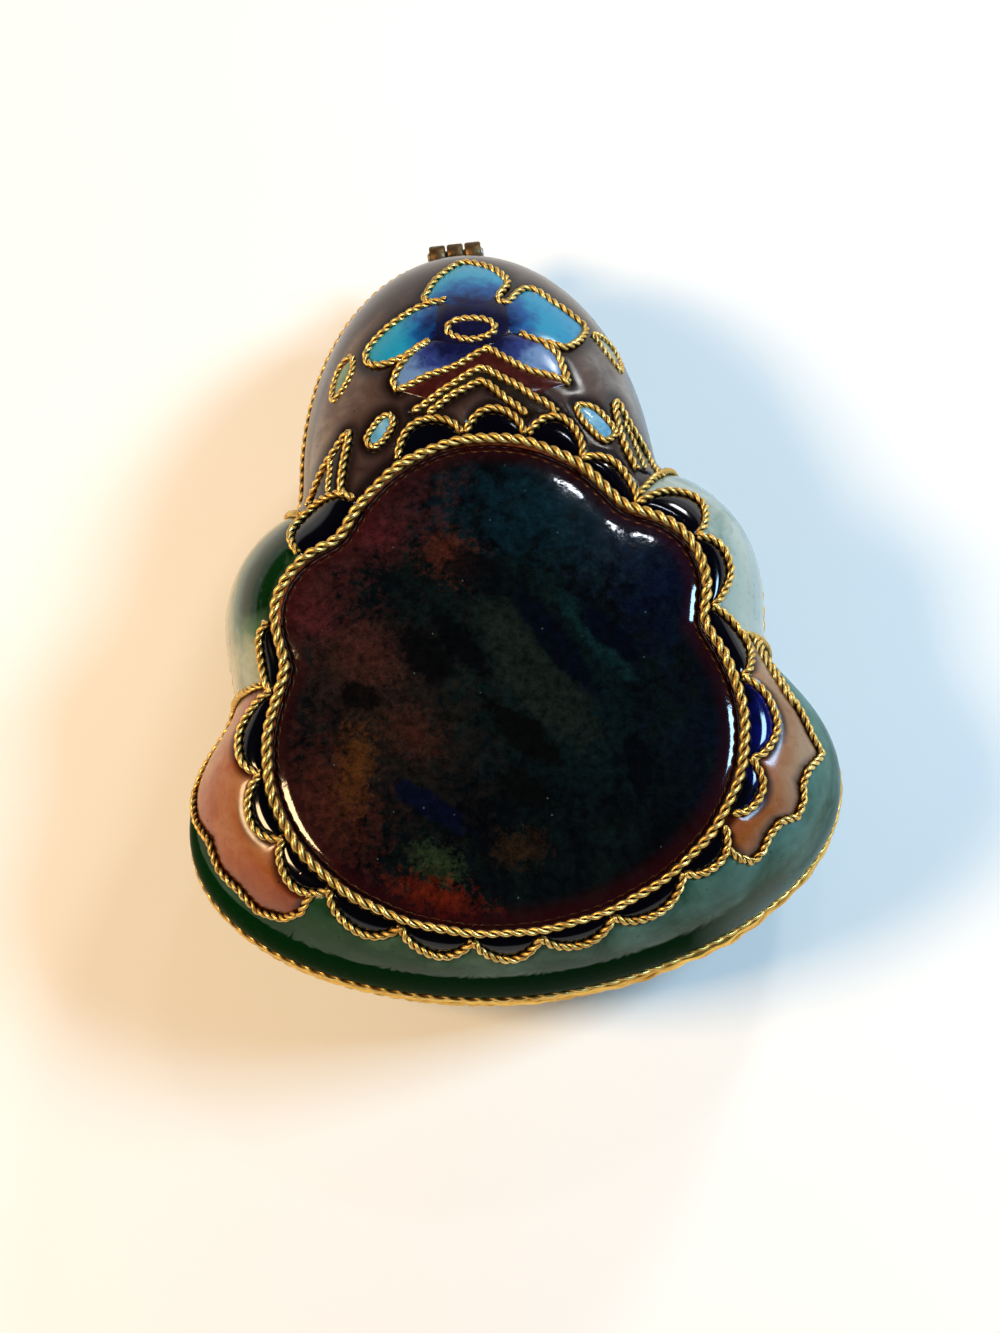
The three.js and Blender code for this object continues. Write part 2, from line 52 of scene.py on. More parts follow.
mm = 0.001
degree = math.pi / 180
quarterTurn = math.pi / 2
seamHeight = frame["joints"][0]["pos_m"][2] / mm
hingeY = frame["joints"][0]["pos_m"][1] / mm

# Sizes in millimetres. The plan is drawn about the middle of the medallion.
body = {
    "footHeight": 0.9,
    "lidHeight": 14.5,
    "bandHeight": 1.4,
    "rimProud": 0.4,
    "footInset": 7.0,
    "shellOuter": 0.7,
    "shellInner": 1.6,
    "liningOuter": 1.9,
    "liningInner": 2.15,
    "seamGap": 0.1,
    "outlineBlend": 24,
    "columns": 360,
    "rimLobes": [
        (0, 0, 22.4, 22.4), (0, -8, 27, 15.2),
        (12.3, 9, 10.2, 10.2), (-12.3, 9, 10.2, 10.2), (0, 20, 14.9, 20.9),
    ],
    "medallionLobes": [
        (0, 0, 16.2, 16.2), (0, -4.8, 18.6, 15),
        (11.2, 6.7, 5.8, 5.8), (-11.2, 6.7, 5.8, 5.8), (0, 7.8, 12.2, 12.2),
    ],
}
lidWallBase = seamHeight + body["bandHeight"]
lidTop = seamHeight + body["lidHeight"]
baseWallTop = seamHeight - body["bandHeight"]


def outlineRadius(lobes, angle):
    angle = np.asarray(angle, float)
    c, s = np.cos(angle), np.sin(angle)
    total = np.zeros_like(angle)
    for x, y, rx, ry in lobes:
        a = (c / rx) ** 2 + (s / ry) ** 2
        b = x * c / rx ** 2 + y * s / ry ** 2
        k = (x / rx) ** 2 + (y / ry) ** 2 - 1
        reach = b * b - a * k
        far = np.where(reach > 0, (b + np.sqrt(np.maximum(reach, 0))) / a, 0)
        total += np.maximum(far, 0) ** body["outlineBlend"]
    return total ** (1 / body["outlineBlend"])


def rimRadius(angle):
    return outlineRadius(body["rimLobes"], angle)


def wallRadius(angle):
    return rimRadius(angle) - body["rimProud"]


def medallionRadius(angle):
    return outlineRadius(body["medallionLobes"], angle)


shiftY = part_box("lid_rim")[0].y / mm + float(rimRadius(-quarterTurn))


def polarPoint(angle, radius, height):
    x = radius * np.cos(angle)
    y = radius * np.sin(angle) + shiftY
    return np.stack(np.broadcast_arrays(x, y, height), -1)


def lidPoint(angle, slope, lift=0.0):
    # slope is 0 at the medallion and a quarter turn at the rim band
    inner = medallionRadius(angle)
    radius = inner + lift + (wallRadius(angle) - inner) * np.sin(slope)
    height = lidWallBase + (lidTop - lidWallBase + lift) * np.cos(slope)
    return polarPoint(angle, radius, height)


def lidNormal(angle, slope):
    step = 1e-4
    across = lidPoint(angle + step, slope) - lidPoint(angle - step, slope)
    down = lidPoint(angle, slope + step) - lidPoint(angle, slope - step)
    normal = np.cross(down, across)
    return normal / np.linalg.norm(normal, axis=-1, keepdims=True)


def slopeScale(angle, slope):
    step = 1e-4
    down = lidPoint(angle, slope + step) - lidPoint(angle, slope - step)
    return np.linalg.norm(down, axis=-1) / (2 * step)


def slopeAtDepth(angle, depth):
    spread = wallRadius(angle) - medallionRadius(angle)
    return np.arcsin(np.clip(depth / spread, 0, 0.985))


def planStation(x, y):
    angle = np.arctan2(y, x)
    return angle, slopeAtDepth(angle, np.hypot(x, y) - medallionRadius(angle))


def basePoint(angle, slope, inset=0.0):
    # slope is 0 under the rim band and a quarter turn at the foot
    bottom = body["footHeight"] + inset
    radius = wallRadius(angle) - inset - body["footInset"] * (1 - np.cos(slope))
    height = bottom + (baseWallTop - bottom) * (1 - np.sin(slope))
    return polarPoint(angle, radius, height)


def signedTurn(angle):
    return np.mod((np.asarray(angle) + quarterTurn) / degree + 180, 360) - 180


def angleAt(turn):
    return np.asarray(turn) * degree - quarterTurn


ringAngles = angleAt(np.linspace(0, 360, body["columns"], endpoint=False))


def camel(name):
    first, *rest = name.split("_")
    return first + "".join(word.title() for word in rest)


def gridFaces(rows, columns, wrapRows, wrapColumns):
    return [(i * columns + j, i * columns + (j + 1) % columns,
             (i + 1) % rows * columns + (j + 1) % columns, (i + 1) % rows * columns + j)
            for i in range(rows - (not wrapRows)) for j in range(columns - (not wrapColumns))]


def loft(rings, closed=False):
    # rings of equal length; closed joins the last to the first, and open ends are capped with a fan
    rings = np.stack(rings)
    count, columns = rings.shape[:2]
    points = rings.reshape(-1, 3)
    faces = gridFaces(count, columns, closed, True)
    if not closed:
        first = len(points)
        points = np.vstack([points, rings[0].mean(0), rings[-1].mean(0)])
        last = (count - 1) * columns
        for j in range(columns):
            k = (j + 1) % columns
            faces += [(first, k, j), (first + 1, last + j, last + k)]
    return points, outward(points, faces)


def outward(points, faces):
    volume = 0.0
    for face in faces:
        a, b, c = points[face[0]], points[face[1]], points[face[2]]
        volume += np.dot(a, np.cross(b, c))
        if len(face) == 4:
            volume += np.dot(a, np.cross(c, points[face[3]]))
    return faces if volume > 0 else [tuple(reversed(face)) for face in faces]


def colour(hexCode):
    # sRGB hex to the linear values that the sockets take
    parts = [int(hexCode[i:i + 2], 16) / 255 for i in (1, 3, 5)]
    return (*[p / 12.92 if p <= 0.04045 else ((p + 0.055) / 1.055) ** 2.4 for p in parts], 1.0)


def addNode(tree, kind, values=None, **more):
    # a value goes to an attribute or an input of the node, and a node or an output as a value is linked in;
    # a list goes to the inputs in order, "stops" to a colour ramp, "range" to a map range's from and to
    node = tree.nodes.new("ShaderNode" + kind)
    values = dict(enumerate(values)) if isinstance(values, list) else values or {}
    for key, value in {**more, **values}.items():
        if key == "stops":
            ramp = node.color_ramp
            while len(ramp.elements) < len(value):
                ramp.elements.new(0.5)
            for element, (place, tint) in zip(ramp.elements, value):
                element.position = place
                element.color = colour(tint)
        elif key == "range":
            for name, number in zip(("From Min", "From Max", "To Min", "To Max"), value):
                node.inputs[name].default_value = number
        elif isinstance(key, str) and key not in node.inputs:
            setattr(node, key, value)
        elif isinstance(value, (bpy.types.Node, bpy.types.NodeSocket)):
            if isinstance(value, bpy.types.Node):
                value = next(output for output in value.outputs if output.enabled)
            tree.links.new(value, node.inputs[key])
        else:
            node.inputs[key].default_value = value
    return node


def newMaterial(name, made=None):
    # an empty material, what adds a node to it, and the place on the piece in metres, by which patterns lie
    material = made or bpy.data.materials.new(name)
    material.use_nodes = True
    material.node_tree.nodes.clear()
    add = partial(addNode, material.node_tree)
    return material, add, add("TexCoord").outputs["Object"]


def shownRays(add):
    # 1 for what the camera, reflections and glass see, 0 for the light that falls on the object
    rays = add("LightPath").outputs
    seen = add("Math", [rays["Is Camera Ray"], rays["Is Glossy Ray"]], operation="ADD")
    return add("Math", [seen, rays["Is Transmission Ray"]], operation="ADD", use_clamp=True)


def perMillimetre(size):
    # texture scale for a feature of this size, since object coordinates are in metres
    return 1 / (size * mm)


def addObject(name, data):
    thing = bpy.data.objects.new(name, data)
    bpy.context.scene.collection.objects.link(thing)
    return thing


view = {
    "eye": (3.03, -58.30, 225.5),
    "right": (0.9984, 0.0567, 0.0),
    "up": (-0.0550, 0.9687, 0.2419),
    "roll": 9.515,
    "focalPixels": 2636.3,
    "longSidePixels": 1333,
    "sensor": 36.0,
}


def placeCamera():
    data = bpy.data.cameras.new("camera")
    camera = addObject("camera", data)
    right, up = Vector(view["right"]), Vector(view["up"])
    c, s = math.cos(view["roll"] * degree), math.sin(view["roll"] * degree)
    rolledRight = (right * c - up * s).normalized()
    rolledUp = right * s + up * c
    back = rolledRight.cross(rolledUp).normalized()
    rolledUp = back.cross(rolledRight)
    place = Matrix((rolledRight, rolledUp, back)).transposed().to_4x4()
    place.translation = Vector(view["eye"]) * mm
    camera.matrix_world = place
    data.sensor_width = view["sensor"]
    data.lens = view["focalPixels"] / view["longSidePixels"] * view["sensor"]
    data.clip_start = 0.01
    data.clip_end = 30
    bpy.context.scene.camera = camera


studio = {
    "floorSize": 20000,
    "paint": [(0.3, "#f0ede6"), (0.7, "#f4f1ea")],
    "paintMottle": 60,
    "sky": [(0.05, "#f3f1ee"), (0.85, "#5a5a5c")],
    # what the camera and the reflections see: a white backdrop that rises from the table, dark above
    "backdrop": [(0.0, "#f6f4f1"), (0.2, "#efedea"), (0.36, "#3a3a3c"), (0.9, "#29292b")],
    "worldStrength": 0.22,
    # the table top's own light: from and to in mm from the middle, strength there
    "floorGlow": (80 * mm, 700 * mm, 0.1, 0.8),
    "lampAim": (0, 0, 12),
    # name, place in mm, size in mm, power in watts, colour
    "lamps": [
        ("warmSide", (-260, -20, 320), (110, 110), 1.5, "#ffd8a4"),
        ("coolSide", (280, 30, 310), (110, 110), 1.5, "#aedaff"),
        ("window", (190, 300, 210), (50, 60), 0.4, "#ffffff"),
        ("farWindow", (75, 170, 300), (24, 7), 0.04, "#eef4ff"),
    ],
}


def buildStudio():
    half = studio["floorSize"] / 2 * mm
    corners = [(-half, -half, 0), (half, -half, 0), (half, half, 0), (-half, half, 0)]
    mesh = bpy.data.meshes.new("floor")
    mesh.from_pydata(corners, [], [(0, 1, 2, 3)])
    # matt painted table top: flat and pale, with a faint unevenness of the coat
    paint, add, place = newMaterial("mattWhitePaint")
    grain = add("TexNoise", Scale=perMillimetre(studio["paintMottle"]), Detail=2.0, Vector=place)
    tint = add("ValToRGB", stops=studio["paint"], Fac=grain)
    surface = add("BsdfPrincipled", {"Base Color": tint}, Roughness=0.8)
    # a little light of its own, for shown rays only, whitens it more where the lamps no longer reach
    far = add("VectorMath", [place], operation="LENGTH")
    amount = add("MapRange", range=studio["floorGlow"], Value=far)
    strength = add("Math", [shownRays(add), amount], operation="MULTIPLY")
    glow = add("Emission", Strength=strength)
    both = add("AddShader", [surface, glow])
    add("OutputMaterial", Surface=both)
    mesh.materials.append(paint)
    floor = addObject("floor", mesh)
    bpy.context.scene.world, add, place = newMaterial("studio", bpy.data.worlds.new("studio"))
    height = add("SeparateXYZ", Vector=place.node.outputs["Generated"]).outputs["Z"]
    sky = add("ValToRGB", stops=studio["sky"], Fac=height)
    light = add("Background", Strength=studio["worldStrength"], Color=sky)
    wall = add("ValToRGB", stops=studio["backdrop"], Fac=height)
    backdrop = add("Background", Strength=1.0, Color=wall)
    both = add("MixShader", [shownRays(add), light, backdrop])
    add("OutputWorld", Surface=both)
    for name, spot, size, power, tint in studio["lamps"]:
        data = bpy.data.lights.new(name, "AREA")
        data.shape = "RECTANGLE"
        data.size, data.size_y = size[0] * mm, size[1] * mm
        data.energy = power
        data.color = colour(tint)[:3]
        aim = Vector(studio["lampAim"]) - Vector(spot)
        turned = aim.to_track_quat("-Z", "Y").to_matrix().to_4x4()
        turned.translation = Vector(spot) * mm
        addObject(name, data).matrix_world = turned


bpy.context.scene.view_settings.view_transform = "Standard"
placeCamera()
buildStudio()
print("stage: camera, floor and light")


def slab(top, bottom, wrap=False):
    # two point grids of one size, joined along their borders into a closed body
    rows, columns = top.shape[:2]
    size = rows * columns
    points = np.vstack([top.reshape(-1, 3), bottom.reshape(-1, 3)])
    upper = gridFaces(rows, columns, False, wrap)
    faces = upper + [tuple(size + corner for corner in reversed(face)) for face in upper]
    last = (rows - 1) * columns
    for j in range(columns if wrap else columns - 1):
        k = (j + 1) % columns
        faces.append((k, j, size + j, size + k))
        faces.append((last + j, last + k, size + last + k, size + last + j))
    if not wrap:
        for i in range(rows - 1):
            a, b = i * columns, (i + 1) * columns
            faces.append((a, b, size + b, size + a))
            a, b = a + columns - 1, b + columns - 1
            faces.append((b, a, size + a, size + b))
    return points, outward(points, faces)


def ring(radius, height):
    return polarPoint(ringAngles, radius, height)


def ringBody(profile):
    # profile is a list of functions or pairs, each a closed line round the box
    return loft([ring(radius, height) for radius, height in profile], closed=True)


enamels = {
    # record's slot, deep, mid and pale ground, the darker tint beside the wires (a burnt-in line and painted
    # shade), flecks, size of the mottle in mm, reach of the tint, index of refraction and roughness
    "greenEnamel": ("green_enamel", "#01160a", "#254a35", "#5f8f80", "#08200f", "#16301f",
        5.0, 0.7, 1.42, 0.1),
    "skirtGreenEnamel": ("green_enamel", "#01260a", "#23462f", "#5e8172", "#08200f", "#1a3a26",
        5.0, 0.7, 1.01, 0.12),
    "sageEnamel": ("sage_enamel", "#062509", "#4d6b52", "#a6ad9c", "#28402c", "#465a42",
        4.0, 0.5, 1.42, 0.09),
    "terracottaEnamel": ("terracotta_enamel", "#6a2a12", "#925125", "#aa7f5c", "#2c0503", "#64280f",
        3.0, 1.3, 1.42, 0.19),
    "mauveEnamel": ("mauve_enamel", "#25120f", "#564339", "#8a7d70", "#120706", "#40271f",
        3.2, 1.6, 1.38, 0.2),
    "navyEnamel": ("navy_enamel", "#010106", "#02030b", "#0b1578", "#010103", "#040408",
        3.0, 0.3, 1.45, 0.08),
    "indigoEnamel": ("navy_enamel", "#06050f", "#0e0d26", "#191c46", "#140a14", "#0a0716",
        1.6, 0.9, 1.42, 0.12),
    "turquoiseEnamel": ("turquoise_enamel", "#0a0d3a", "#104f88", "#1e8aa8", "#071430", "#0e4070",
        1.3, 0.5, 1.42, 0.18),
    "periwinkleEnamel": ("periwinkle_enamel", "#0c1034", "#2a3870", "#6382a8", "#0e1334", "#28366f",
        1.3, 0.4, 1.42, 0.18),
    "maroonEnamel": ("maroon_enamel", "#1c0504", "#3a120e", "#5a2f28", "#120302", "#1a0705",
        1.2, 0.35, 1.42, 0.15),
    "oliveEnamel": ("maroon_enamel", "#0e0906", "#1c150d", "#3a2e1f", "#0a0504", "#100a06",
        2.0, 0.25, 1.42, 0.15),
    "paleGreenEnamel": ("sage_enamel", "#33574a", "#64836f", "#92aa97", "#1e3022", "#42554a",
        1.5, 0.2, 1.42, 0.12),
    "paleBlueEnamel": ("periwinkle_enamel", "#2a6480", "#5c98b2", "#a5c6d0", "#163a4a", "#2f627a",
        1.0, 0.2, 1.42, 0.12),
    "counterEnamel": ("blue_enamel", "#0d2f4e", "#1f5578", "#3c7f9e", "#0a2238", "#12303f",
        6.0, 1.0, 1.45, 0.1),
}


def makeEnamel(name):
    # vitreous enamel, fired glass ground smooth and refired: deep gloss, soft clouds in the colour,
    # a darker line beside the wires, partly where the glass thins against them and partly painted shade, a
    # few pits and a faint orange peel
    _, deep, middle, pale, wireShadeTint, fleck, mottle, wireShadeReach, refraction, roughness = enamels[name]
    material, add, place = newMaterial(name)
    cloud = add("TexNoise", Scale=perMillimetre(mottle), Detail=4.0, Roughness=0.62, Distortion=0.4,
                Vector=place)
    tone = add("Attribute", attribute_name="tone").outputs["Fac"]
    centred = add("Math", [cloud, 0.9, -0.45], operation="MULTIPLY_ADD")
    mixed = add("Math", [tone, centred], operation="ADD", use_clamp=True)
    ground = add("ValToRGB", stops=[(0.12, deep), (0.5, middle), (0.88, pale)], Fac=mixed)
    grit = add("TexNoise", Scale=perMillimetre(0.7), Detail=3.0, Roughness=0.7, Vector=place)
    gritShare = add("MapRange", range=(0.56, 0.78, 0, 0.45), Value=grit)
    flecked = add("Mix", {0: gritShare, 6: ground, 7: colour(fleck)}, data_type="RGBA")
    # painted shade beside the wires: the tint darkens the glass near them, over the real burnt-in line there
    edge = add("Attribute", attribute_name="edge").outputs["Fac"]
    uneven = add("Math", [cloud, wireShadeReach * 1.6, wireShadeReach * 0.2], operation="MULTIPLY_ADD")
    wireShadeShare = add("MapRange", {"From Max": uneven}, interpolation_type="SMOOTHSTEP", Value=edge,
                    range=(wireShadeReach * 0.25, 1, 0.95, 0))
    wireShadedGlass = add("Mix", {0: wireShadeShare, 6: flecked, 7: colour(wireShadeTint)}, data_type="RGBA")
    cells = add("TexVoronoi", Scale=perMillimetre(1.7), Vector=place)
    pit = add("MapRange", range=(0.035, 0.07, 1, 0), Value=cells)
    pitted = add("Mix", {0: pit, 6: wireShadedGlass, 7: colour("#15100e")}, data_type="RGBA")
    gloss = add("MapRange", range=(0, 1, roughness * 0.7, roughness * 1.6), Value=grit)
    peel = add("TexNoise", Scale=perMillimetre(1.6), Detail=1.0, Vector=place)
    height = add("Math", [pit, -0.8, peel], operation="MULTIPLY_ADD")
    bump = add("Bump", Strength=0.22, Distance=0.06 * mm, Height=height)
    finish = {"IOR": refraction, "Base Color": pitted, "Roughness": gloss, "Normal": bump}
    if name == "skirtGreenEnamel":
        # the gloss lies over the field and leaves the deep strip above the rim dark, as in the photograph
        flux = add("MapRange", range=(0.1, 0.4, 0, 0.35), Value=tone)
        finish.update({"Coat Weight": flux, "Coat IOR": 1.42, "Coat Roughness": roughness,
                       "Coat Normal": bump})
    surface = add("BsdfPrincipled", finish)
    add("OutputMaterial", Surface=surface)
    return material


metals = {
    # record's slot, bright metal, worn or dull metal, the darker colour where the groove value is high,
    # roughness, size of the wear patches in mm
    "giltWire": ("gilt", "#efc977", "#bd9345", "#38270c", 0.36, 1.2),
    "giltBand": ("gilt", "#f2c45c", "#c08e34", "#3d2a0e", 0.34, 2.2),
    "tarnishedGilt": ("gilt", "#6f573a", "#41311f", "#150e08", 0.48, 0.9),
    "formedCopper": ("copper", "#b8714a", "#8a4f33", "#3a2015", 0.42, 3.0),
    "drawnSteelPin": ("pin_steel", "#9d9994", "#74706b", "#3a3632", 0.36, 0.8),
}


def makeMetal(name):
    # rolled or drawn metal, gilded by hand: a warm shine broken by dull worn patches, fine rub marks
    # and a darker colour where the groove value is high: between a wire's strands and low beside the glass
    _, bright, dull, creviceTint, roughness, patch = metals[name]
    material, add, place = newMaterial(name)
    wear = add("TexNoise", Scale=perMillimetre(patch), Detail=5.0, Roughness=0.65, Vector=place)
    ground = add("ValToRGB", stops=[(0.32, dull), (0.6, bright)], Fac=wear)
    groove = add("Attribute", attribute_name="groove").outputs["Fac"]
    creviceShare = add("MapRange", interpolation_type="SMOOTHSTEP", range=(0.4, 0.8, 0, 0.92), Value=groove)
    creviceToned = add("Mix", {0: creviceShare, 6: ground, 7: colour(creviceTint)}, data_type="RGBA")
    shine = add("MapRange", range=(0.3, 0.7, roughness * 1.5, roughness * 0.8), Value=wear)
    rub = add("TexNoise", Scale=perMillimetre(0.25), Detail=2.0, Vector=place)
    bump = add("Bump", Strength=0.25, Distance=0.04 * mm, Height=rub)
    surface = add("BsdfPrincipled", {"Base Color": creviceToned}, Metallic=1.0, Roughness=shine, Normal=bump)
    add("OutputMaterial", Surface=surface)
    return material


looks = {name: makeEnamel(name) for name in enamels}
looks.update({name: makeMetal(name) for name in metals})
slots = {name: values[0] for name, values in {**enamels, **metals}.items()}
print("stage: enamels and metals")


def fitPiece(name, shape, look, owner="lid", **layers):
    # a name with underscores is the CAD node that the piece stands for
    points, faces = shape
    mesh = bpy.data.meshes.new(camel(name))
    mesh.from_pydata((points * mm).tolist(), [], faces)
    mesh.validate()
    mesh.polygons.foreach_set("use_smooth", [True] * len(mesh.polygons))
    mesh.materials.append(looks[look])
    for layer, plain in ({"groove": 0.0} if look in metals else {"edge": 9.0, "tone": 0.5}).items():
        values = layers.get(layer, np.full(len(points), plain)).astype(np.float32).ravel()
        mesh.attributes.new(layer, "FLOAT", "POINT").data.foreach_set("value", values)
    piece = addObject(camel(name), mesh)
    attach(piece, owner)
    if "_" in name:
        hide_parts(name)


def joined(shapes):
    # each shape is points, faces and then values for each point
    faces, offset = [], 0
    for shape in shapes:
        faces += [tuple(corner + offset for corner in face) for face in shape[1]]
        offset += len(shape[0])
    points, _, *values = zip(*shapes)
    return (np.vstack(points), faces, *[np.concatenate(parts) for parts in values])


def joinedPiece(name, shapes, look, owner="lid"):
    points, faces, *values = joined(shapes)
    layers = ("groove",) if look in metals else ("edge", "tone")
    fitPiece(name, (points, faces), look, owner, **dict(zip(layers, values)))


def shellPieces(owner, skin, lip):
    # a copper wall that is open at the seam, and the counter enamel inside it; skin gives rings at a depth
    wall = wallRadius(ringAngles)
    lips = [ring(wall - body[side], lip) for side in ("shellOuter", "shellInner")]
    shell = skin(body["shellOuter"]) + lips + skin(body["shellInner"])[::-1]
    fitPiece(owner + "_shell", loft(shell), "formedCopper", owner)
    lining = skin(body["liningOuter"]) + skin(body["liningInner"])[::-1]
    fitPiece(owner + "_lining", loft(lining), "counterEnamel", owner)


# Base: a copper tray that curves in to a flat foot
base = {
    "rows": 22,
    "collarClearance": 0.2,
    "collarWall": 0.6,
    "collarRise": 1.2,
    "footRingSetback": 1.0,
    "footRingWidth": 1.4,
    "footRingTop": 1.5,
    "undersideGap": 0.2,
    "enamelThickness": 0.4,
    "enamelFoot": 62,
}

# Rim bands: two rolled beads with a groove between them, on the base and on the lid
band = {
    "steps": 16,
    "bulge": 0.16,
    "seat": 0.12,
    "setback": 0.04,
    "waver": 0.16,
    "spread": 0.3,
    "spreadTurn": 36,
    "spreadReach": 20,
}


def bandPiece(owner, bottom, top):
    inner, outer = band["seat"] - body["shellOuter"], body["rimProud"] - band["setback"]
    shares = np.arange(band["steps"] + 1) / band["steps"]
    beads = np.abs(np.sin(2 * math.pi * shares)) ** 0.55
    reaches = [inner, *(outer - band["bulge"] * 2.2 * (1 - beads)), inner]
    heights = [bottom, *(bottom + (top - bottom) * shares), top]
    # the band is hammered on by hand, so its edge wavers a little inwards
    waver = band["waver"] * (np.sin(ringAngles * 23) * np.sin(ringAngles * 41 + bottom) - 1) / 2
    # it spreads where it was beaten down, at the near right
    spread = np.exp(-((signedTurn(ringAngles) - band["spreadTurn"]) / band["spreadReach"]) ** 2)
    waver = waver * (1 + spread) + band["spread"] * spread
    wall = wallRadius(ringAngles)
    shape = ringBody([(wall + reach + (waver if reach > 0 else 0), height)
                      for reach, height in zip(reaches, heights)])
    depths = [0.35 if reach < body["rimProud"] - 0.25 else 0.1 for reach in reaches]
    depths[0] = depths[-1] = 0.0
    fitPiece(owner + "_rim", shape, "giltBand", owner, groove=np.repeat(depths, len(ringAngles)))


def buildBase():
    wall = wallRadius(ringAngles)
    lip = seamHeight - body["seamGap"] / 2
    slopes = np.linspace(quarterTurn, 0, base["rows"])
    shellPieces("base", lambda depth: [basePoint(ringAngles, slope, depth) for slope in slopes], lip)
    slopes = np.linspace(0, base["enamelFoot"] * degree, base["rows"])
    front, back = (np.stack([basePoint(ringAngles, slope, depth) for slope in slopes])
                   for depth in (0.0, base["enamelThickness"]))
    edge = np.tile(np.repeat(np.minimum(slopes, slopes[-1] - slopes) * 10, len(ringAngles)), 2)
    tone = np.tile(np.repeat(np.linspace(0.28, 0.72, base["rows"]), len(ringAngles)), 2)
    fitPiece("base_side_enamel", slab(front, back, True), "greenEnamel", "base", edge=edge, tone=tone)
    bandPiece("base", baseWallTop + 0.05, lip)
    collar = wall - body["shellInner"] - base["collarClearance"]
    inside = collar - base["collarWall"]
    low, high = baseWallTop + base["collarClearance"], seamHeight + base["collarRise"]
    fitPiece("base_collar", ringBody([
        (collar, low), (collar, high - 0.25), (collar - 0.12, high - 0.06), (collar - 0.28, high),
        (inside + 0.1, high - 0.04), (inside, high - 0.2), (inside, low)]), "giltBand", "base")
    foot = wall - body["footInset"] - base["footRingSetback"]
    inside, top = foot - base["footRingWidth"], base["footRingTop"]
    fitPiece("foot_ring", ringBody([
        (foot - 0.1, top), (foot, top - 0.3), (foot - 0.05, 0.25), (foot - 0.2, 0.0),
        (inside + 0.2, 0.0), (inside, 0.25), (inside, top - 0.3), (inside + 0.1, top)]), "giltBand", "base")
    under = inside - base["undersideGap"]
    fitPiece("base_underside_enamel", loft([
        ring(under, top), ring(under, top - 0.28), ring(under - 0.1, top - 0.38),
        ring(under * 0.6, top - 0.4), ring(under * 0.25, top - 0.4)]), "counterEnamel", "base")


buildBase()
print("stage: base")

# Hinge: three short knuckles on one pin
hinge = {
    "barrelRadius": 0.985,
    "boreRadius": 0.6,
    "leafThickness": 0.5,
    "leafLength": 1.3,
    "knuckleLength": 1.4,
    "knuckleGap": 0.15,
    "pinOverhang": 0.2,
    "chamfer": 0.12,
    "steps": 40,
    # distance from the pin's end and radius there
    "pinEnd": [(0, 0.3), (0.1, 0.42), (0.2, 0.45)],
    "pinSides": 32,
}


def knuckleSection(leafSign, shrink):
    # barrel with a flat leaf on its near side, about the pin, as (y, z); shrink draws the edge in
    radius = hinge["barrelRadius"] - shrink
    leafBack = hinge["barrelRadius"] - hinge["leafThickness"]
    sweep = 2 * math.pi - math.acos(leafBack / hinge["barrelRadius"])
    leafEnd = leafSign * (hinge["leafLength"] - shrink)
    barrel = [math.pi - sweep * step / hinge["steps"] for step in range(hinge["steps"] + 1)]
    points = [(radius * math.cos(around), -leafSign * radius * math.sin(around)) for around in barrel]
    return [(-radius, leafEnd), *points, (-leafBack - shrink, leafEnd)]


def knuckleShape(leafSign, middleX):
    half, chamfer = hinge["knuckleLength"] / 2, hinge["chamfer"]
    stations = [(-half, chamfer), (-half + chamfer, 0), (half - chamfer, 0), (half, chamfer)]
    outer = [[(middleX + x, hingeY + y, seamHeight + z) for y, z in knuckleSection(leafSign, shrink)]
             for x, shrink in stations]
    # the bore keeps one point for each point of the section, on the same bearing from the pin
    bore = [math.atan2(z, y) for y, z in knuckleSection(leafSign, 0)]
    inner = [[(middleX + x, hingeY + hinge["boreRadius"] * math.cos(bearing),
               seamHeight + hinge["boreRadius"] * math.sin(bearing)) for bearing in bore]
             for x, _ in reversed(stations)]
    return loft(list(np.array(outer + inner)), closed=True)


def buildHinge():
    pitch = hinge["knuckleLength"] + hinge["knuckleGap"]
    for side, owner, leafSign, middleX in [("left", "base", -1, -pitch), ("right", "base", -1, pitch),
                                           ("lid", "lid", 1, 0.0)]:
        fitPiece("hinge_knuckle_" + side, knuckleShape(leafSign, middleX), "tarnishedGilt", owner)
    half = pitch + hinge["knuckleLength"] / 2 + hinge["pinOverhang"]
    around = np.linspace(0, 2 * math.pi, hinge["pinSides"], endpoint=False)
    stations = [(x - half, radius) for x, radius in hinge["pinEnd"]]
    stations += [(half - x, radius) for x, radius in reversed(hinge["pinEnd"])]
    rings = [np.stack([np.full_like(around, x), hingeY + radius * np.cos(around),
                       seamHeight + radius * np.sin(around)], -1) for x, radius in stations]
    fitPiece("hinge_pin", loft(rings), "drawnSteelPin", "base")


buildHinge()
print("stage: hinge")


